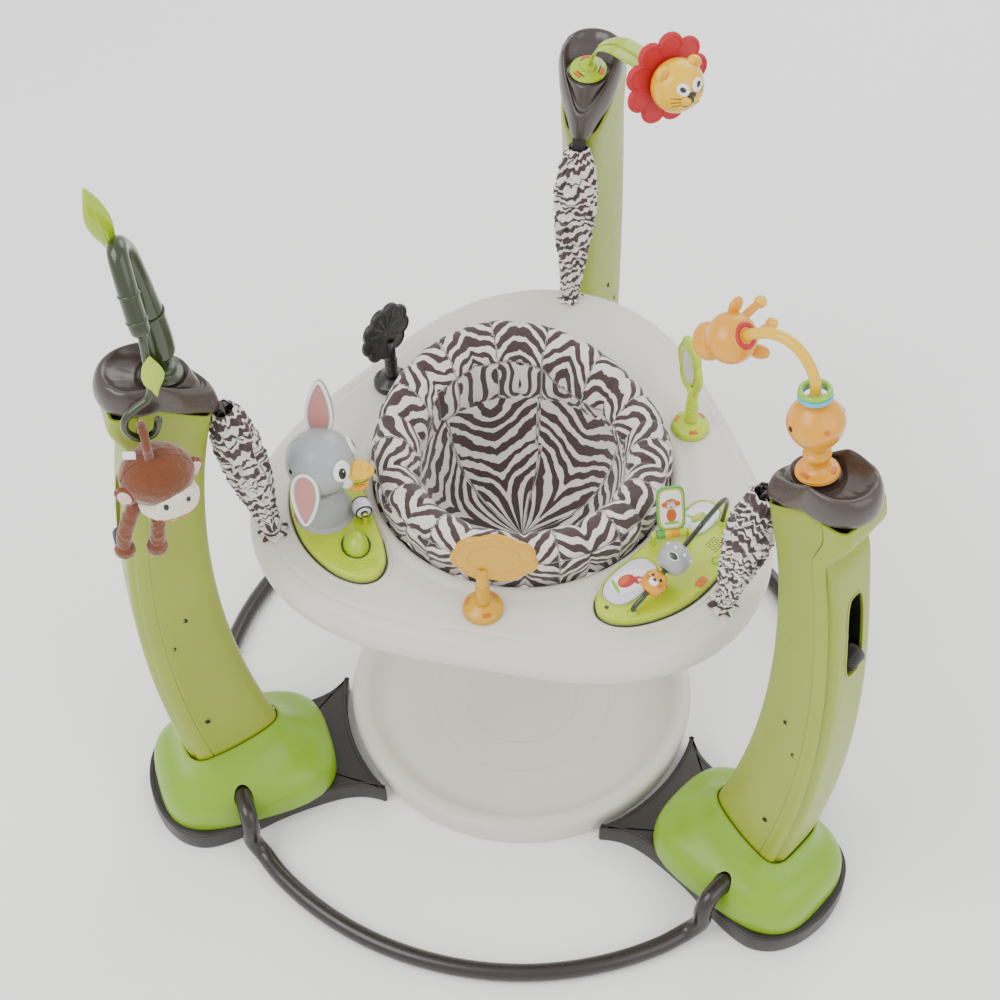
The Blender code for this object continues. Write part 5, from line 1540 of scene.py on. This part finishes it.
def make_giraffe_head(face):
    """The nose points along the frame's Z, and the horns stand towards its -X."""
    head = lathe("giraffe_skull", [(0.0, 0.0010), (0.0125, 0.0012), (0.0190, 0.0045),
                                   (0.0240, 0.0110), (0.0266, 0.0190), (0.0264, 0.0275),
                                   (0.0232, 0.0360), (0.0186, 0.0440), (0.0188, 0.0505),
                                   (0.0202, 0.0565), (0.0186, 0.0620), (0.0120, 0.0655),
                                   (0.0, 0.0664)], place=face)
    dress(head, ORANGE, "giraffe", ["giraffe_head"])
    collar = tube("giraffe_collar", ring_of(0.0112), 0.0034, face @ at((0, 0, 0.0030)), closed=True,
                  sides=14, steps=1)
    dress(collar, RED_PRINT, "giraffe")
    for sign in (1, -1):
        end = "a" if sign > 0 else "b"
        horn = tube("giraffe_horn_" + end, [(-0.0170, sign * 0.0105, 0.0180), (-0.0300, sign * 0.0120, 0.0150),
                                            (-0.0440, sign * 0.0130, 0.0135)], 0.0044, face, sides=16)
        dress(horn, ORANGE, "giraffe")
        patch("giraffe_horn_tip_" + end, (0.0070, 0.0066, 0.0066),
              face @ at((-0.0460, sign * 0.0130, 0.0133)), YELLOW, "giraffe")
        ear = face @ at((-0.0150, sign * 0.0270, 0.0130), (-0.5, sign * 0.6, -0.6))
        patch("giraffe_ear_" + end, (0.0075, 0.0042, 0.0110), ear, ORANGE, "giraffe")
        patch("giraffe_ear_inner_" + end, (0.0048, 0.0030, 0.0078), ear @ at((0, 0.0020, 0.0010)), AMBER,
              "giraffe")
        eye = face @ at((-0.0160, sign * 0.0165, 0.0335), (-0.7, sign * 0.65, 0.35))
        patch("giraffe_eye_" + end, (0.0058, 0.0066, 0.0034), eye, WHITE, "giraffe")
        patch("giraffe_pupil_" + end, (0.0026, 0.0036, 0.0014), eye @ at((0, 0, 0.0028)), BLACK,
              "giraffe")
        patch("giraffe_nostril_" + end, (0.0017, 0.0023, 0.0008),
              face @ at((-0.0080, sign * 0.0075, 0.0652), (-0.3, sign * 0.2, 1)), AMBER, "giraffe")
    smile = [(0.0070, 0.0140 * cos(a), 0.0646 - 0.0028 * abs(cos(a))) for a in
             (pi * k / 8 for k in range(9))]
    dress(tube("giraffe_smile", smile, 0.0006, face, sides=8), BROWN_PRINT, "giraffe")


LION_PLACE = Vector((0.3350, -0.1050, 0.8350))
LION_FACING = Vector((-0.727, -0.697, 0.167)).normalized()
LION_HEAD = (0.0330, 0.0330, 0.0290)


def make_lion():
    stand, place = toy_place("back"), turn("back")
    base = lathe("lion_foot", [(0.0, 0.0045), (0.0215, 0.0045), (0.0226, 0.0056), (0.0215, 0.0068),
                               (0.0120, 0.0086), (0.0104, 0.0110), (0.0094, 0.0145), (0.0070, 0.0158),
                               (0.0, 0.0160)], place=stand)
    dress(base, LIME_DEEP, "stand", ["lion_base"])
    make_clips("lion", stand @ at((0, 0, 0.0078)), AMBER)
    back = LION_PLACE - LION_FACING * 0.0048
    centre = [Vector((0.4010, -0.0010, 0.7930)), Vector((0.4000, -0.0120, 0.8180)),
              Vector((0.3930, -0.0330, 0.8300)), Vector((0.3820, -0.0560, 0.8290)),
              Vector((0.3690, -0.0780, 0.8250)), back - LION_FACING * 0.012, back]
    sides = []
    for k, half in enumerate((0.006, 0.012, 0.0185, 0.0195, 0.016, 0.009, 0.006)):
        ahead = centre[min(k + 1, 6)] - centre[max(k - 1, 0)]
        sides.append(ahead.cross(Vector((0, 0, 1))).normalized() * half)
    band = ribbon("lion_leaf", centre, 1.0, 0.0040, sides, place, steps=10, fold=0.35)
    dress(band, LIME_DEEP, "stand", ["lion_leaf_stalk"])
    vein = [p + Vector((0, 0, 0.0026)) for p in centre[1:6]]
    dress(tube("lion_leaf_vein", vein, 0.0010, place, sides=8), LIME, "stand")
    face = place @ at(LION_PLACE, LION_FACING)
    outline = []
    for k in range(180):
        a = 2 * pi * k / 180
        reach = 0.047 + 0.011 * abs(cos(4.5 * a)) ** 0.6
        outline.append(Vector((reach * cos(a), reach * sin(a))))
    mane = plate("lion_ruff", outline, -0.0038, 0.0030, 0.0026, place=face)
    dress(mane, RED, "lion", ["lion_mane"])
    ridge = hoop("lion_ruff_edge", moved_outline(outline, -0.0034), 0.0046, -0.0006, 0.0046, face)
    dress(ridge, RED, "lion")
    for k in range(9):
        a = 2 * pi * (k + 0.5) / 9
        fold = [(cos(a) * r, sin(a) * r, 0.0029) for r in (0.034, 0.039, 0.0435)]
        dress(tube("lion_fold_%d" % k, fold, 0.0012, face, sides=8), RED, "lion")
    centre = face @ at((0, 0, 0.0220))
    head = dome("lion_skull", LION_HEAD, centre, low=-0.60)
    dress(head, YELLOW, "lion", ["lion_head"])
    decorate_lion(centre)


def decorate_lion(centre):
    for sign in (1, -1):
        end = "a" if sign > 0 else "b"
        ear = on_ball(centre, LION_HEAD, (sign * 0.72, 0.78, 0.10))
        patch("lion_ear_" + end, (0.0100, 0.0075, 0.0090), ear, YELLOW, "lion")
        patch("lion_ear_inner_" + end, (0.0060, 0.0030, 0.0058), ear @ at((0, 0.0055, 0.0020)), ORANGE,
              "lion")
        eye = on_ball(centre, LION_HEAD, (sign * 0.33, 0.30, 0.90))
        patch("lion_eye_" + end, (0.0074, 0.0090, 0.0022), eye, WHITE, "lion")
        patch("lion_pupil_" + end, (0.0031, 0.0044, 0.0012), eye @ at((0, -0.001, 0.0018)), BLACK, "lion")
        patch("lion_cheek_" + end, (0.0086, 0.0066, 0.0030),
              on_ball(centre, LION_HEAD, (sign * 0.22, -0.26, 0.95)), YELLOW, "lion")
        for k in range(3):
            trace("lion_whisker_%s_%d" % (end, k),
                  [(sign * (0.42 + 0.10 * s), -0.34 + 0.14 * k + 0.02 * s * (k - 1), 0.86 - 0.08 * s)
                   for s in range(4)], centre, LION_HEAD, 0.0005, BLACK, "lion")
        trace("lion_smile_" + end, [(sign * 0.02, -0.10, 1.0), (sign * 0.05, -0.30, 0.96),
                                    (sign * 0.20, -0.42, 0.90), (sign * 0.34, -0.38, 0.86)],
              centre, (0.0340, 0.0340, 0.0318), 0.0006, BLACK, "lion")
    nose = on_ball(centre, LION_HEAD, (0, 0.0, 1.0)) @ at((0, 0, 0.0012))
    patch("lion_nose", (0.0056, 0.0036, 0.0028), nose, BLACK, "lion")


def leaf_blade(name, length, width, twist, place):
    """A twisted leaf with a raised middle vein, along the frame's Z."""
    points, sides, half = [], [], length / 2
    for k, share in enumerate((0.10, 0.45, 0.85, 1.0, 0.90, 0.60, 0.12)):
        z = -half + length * k / 6
        a = radians(twist * (k / 6 - 0.5))
        points.append((0, 0, z))
        sides.append((cos(a) * width * share, sin(a) * width * share, 0))
    blade = ribbon(name, points, 1.0, 0.0030, sides, place, steps=8, fold=0.30)
    vein = tube(name + "_vein", [(0, 0.0016, -half * 0.85), (0, 0.0020, 0), (0, 0.0012, half * 0.8)],
                0.0009, place, sides=8)
    return blade, vein


def make_vine():
    place = turn("left")
    cup = lathe("vine_cup", [(0.0, 0.0045), (0.0215, 0.0045), (0.0226, 0.0056), (0.0215, 0.0070),
                             (0.0155, 0.0090), (0.0148, 0.0125), (0.0122, 0.0158), (0.0, 0.0168)],
                place=toy_place("left"))
    dress(cup, OLIVE_AND_HOLE_SHADE, "stand")
    path = [(0.4000, 0, 0.7860), (0.3990, 0, 0.8030), (0.3995, 0, 0.8120), (0.4010, 0, 0.8450),
            (0.4050, 0, 0.8850), (0.4095, 0.0010, 0.9250), (0.4150, 0.0080, 0.9620),
            (0.4220, 0.0220, 0.9850), (0.4255, 0.0380, 0.9880), (0.4250, 0.0520, 0.9700),
            (0.4230, 0.0640, 0.9420), (0.4205, 0.0740, 0.9170), (0.4200, 0.0755, 0.9130)]
    taper = (0.8, 0.9, 1.65, 1.6, 1.4, 1.2, 1.1, 1.05, 1.05, 1.05, 1.05, 1.0, 0.6)
    stem = tube("vine_stem", [(*p, s) for p, s in zip(path, taper)], 0.0100, place, sides=24)
    dress(stem, OLIVE_AND_HOLE_SHADE, "stand", ["vine_post"])
    for k, (low, high, size) in enumerate(((3, 4, 1.65), (9, 10, 1.12), (10, 11, 1.10))):
        start, end = Vector(path[low]), Vector(path[high])
        ring = tube("vine_collar_%d" % k, ring_of(0.0094 * size), 0.0014,
                    place @ at(start.lerp(end, 0.6), end - start), closed=True, sides=10, steps=1)
        dress(ring, OLIVE_AND_HOLE_SHADE, "stand")
    blade, vein = leaf_blade("vine_top_leaf", 0.094, 0.0128, 70,
                             place @ at((0.4350, 0.0040, 1.0020)) @ Matrix.Rotation(radians(10), 4, "Y"))
    dress(blade, LIME_DEEP, "stand")
    dress(vein, LIME, "stand")
    hang = place @ at((0.4200, 0.0750, 0.9065))
    strand = [(0, 0, -0.0022), (0.0005, 0.002, -0.0300), (0.0010, 0.004, -0.0600),
              (0.0060, 0.0060, -0.0780), (0.0200, 0.0080, -0.0860), (0.0330, 0.0090, -0.0980),
              (0.0340, 0.0095, -0.1150), (0.0210, 0.0100, -0.1280), (0.0060, 0.0100, -0.1240),
              (0.0000, 0.0090, -0.1080)]
    dress(tube("hook_strand", strand, 0.0042, hang, sides=18), OLIVE_AND_HOLE_SHADE, "hook",
          ["hook_ring"])
    blade, vein = leaf_blade("hook_leaf", 0.0550, 0.0118, -40, hang @ at((-0.0030, 0.0065, -0.0480)))
    dress(blade, LIME_DEEP, "hook")
    dress(vein, LIME, "hook")
    make_monkey(place @ at((0.4380, 0.0850, 0.7785)))


def fluff(obj, amount, scale):
    """Short pile: the surface is nudged along its normals."""
    normals = [v.normal.copy() for v in obj.data.vertices]
    for vertex, normal in zip(obj.data.vertices, normals):
        vertex.co += normal * amount * noise.noise(vertex.co * scale)
    return obj


def plush_ball(name, radii, place, material, replaces=()):
    piece = fluff(ball(name, radii, place, 72), 0.0011, 190)
    return dress(piece, material, "monkey", replaces)


def make_monkey(place):
    """Hung by a loop from the hook, face down, with arms and legs trailing."""
    head = place @ at((-0.0050, 0.0075, -0.0500))
    skull = (0.0400, 0.0335, 0.0340)
    plush_ball("monkey_head", skull, head, PLUSH, ["plush_monkey"])
    plush_ball("monkey_muzzle", (0.0330, 0.0270, 0.0225), place @ at((-0.0120, 0.0160, -0.0800)),
               PLUSH_PALE)
    plush_ball("monkey_brow", (0.0240, 0.0180, 0.0180), place @ at((-0.0140, 0.0250, -0.0660)),
               PLUSH_PALE)
    for name, spot, facing in (("low", (-0.0430, 0.0080, -0.0520), (-0.5, 0.85, 0.1)),
                               ("high", (0.0320, 0.0230, -0.0560), (0.5, 0.85, 0.1))):
        ear = place @ at(spot, facing)
        plush_ball("monkey_ear_" + name, (0.0120, 0.0125, 0.0045), ear, PLUSH)
        plush_ball("monkey_ear_pad_" + name, (0.0080, 0.0085, 0.0030), ear @ at((0, 0, 0.0030)),
                   PLUSH_PINK)
    for k, way in enumerate(((-0.75, 0.8, 0.35), (0.25, 1.0, 0.35))):
        eye = on_ball(place @ at((-0.0120, 0.0180, -0.0740)), (0.0310, 0.0270, 0.0225), way)
        patch("monkey_eye_%d" % k, (0.0028, 0.0040, 0.0018), eye, BLACK, "monkey")
    smile = [(cos(a), sin(a), -0.28) for a in (radians(55 + 14 * k) for k in range(8))]
    trace("monkey_smile", smile, place @ at((-0.0120, 0.0160, -0.0800)), (0.0334, 0.0274, 0.0229),
          0.0007, BROWN_PRINT, "monkey")
    seam = [(cos(a), 0.15, sin(a)) for a in (radians(10 + 16 * k) for k in range(11))]
    trace("monkey_seam", seam, head, (0.0404, 0.0339, 0.0344), 0.0006, PLUSH, "monkey")
    limbs = (("arm", [(0.0150, 0.0080, -0.0700), (0.0330, 0.0115, -0.1050), (0.0420, 0.0120, -0.1300),
                      (0.0440, 0.0120, -0.1500)]),
             ("leg", [(-0.0020, 0.0110, -0.0850), (0.0030, 0.0135, -0.1150), (0.0070, 0.0140, -0.1380),
                      (0.0100, 0.0140, -0.1550)]))
    for name, points in limbs:
        limb = fluff(tube("monkey_" + name, points, 0.0082, place, sides=28, steps=14), 0.0010, 190)
        dress(limb, PLUSH, "monkey")
        plush_ball("monkey_paw_" + name, (0.0115, 0.0105, 0.0125), place @ at(points[-1]), PLUSH)
    loop = [(0, -0.0120, -0.0260), (0, -0.0140, -0.0020), (0, -0.0075, 0.0110), (0, 0.0075, 0.0110),
            (0, 0.0140, -0.0020), (0, 0.0120, -0.0260)]
    tail = fluff(tube("monkey_loop", loop, 0.0048, place, sides=20, steps=12), 0.0008, 190)
    dress(tail, PLUSH, "monkey")
    label = plate("monkey_label", superellipse(0, 0, 0.0070, 0.0050, 8, 32), -0.0004, 0.0004, 0.0002,
                  place=place @ at((0.0190, 0.0060, -0.0150), (0.3, 1.0, 0.2)))
    dress(label, WHITE, "monkey")


# ---- the whole scene ----
make_studio()
make_camera()
make_foot_pad()
for order, tower in enumerate(TOWERS):
    make_base_plate(tower)
    make_foot_cover(tower)
    make_tower(tower)
    make_cap(tower)
    make_sleeve(tower, order + 1)
for tube_name, heading in (("base_tube_front", 270), ("base_tube_right", 30),
                           ("base_tube_left", 150)):
    make_base_tube(tube_name, heading)
make_tray()
make_seat_ring()
make_seat_pad()
make_sling()
make_elephant()
make_board()
make_stalk_toys()
make_giraffe()
make_lion()
make_vine()
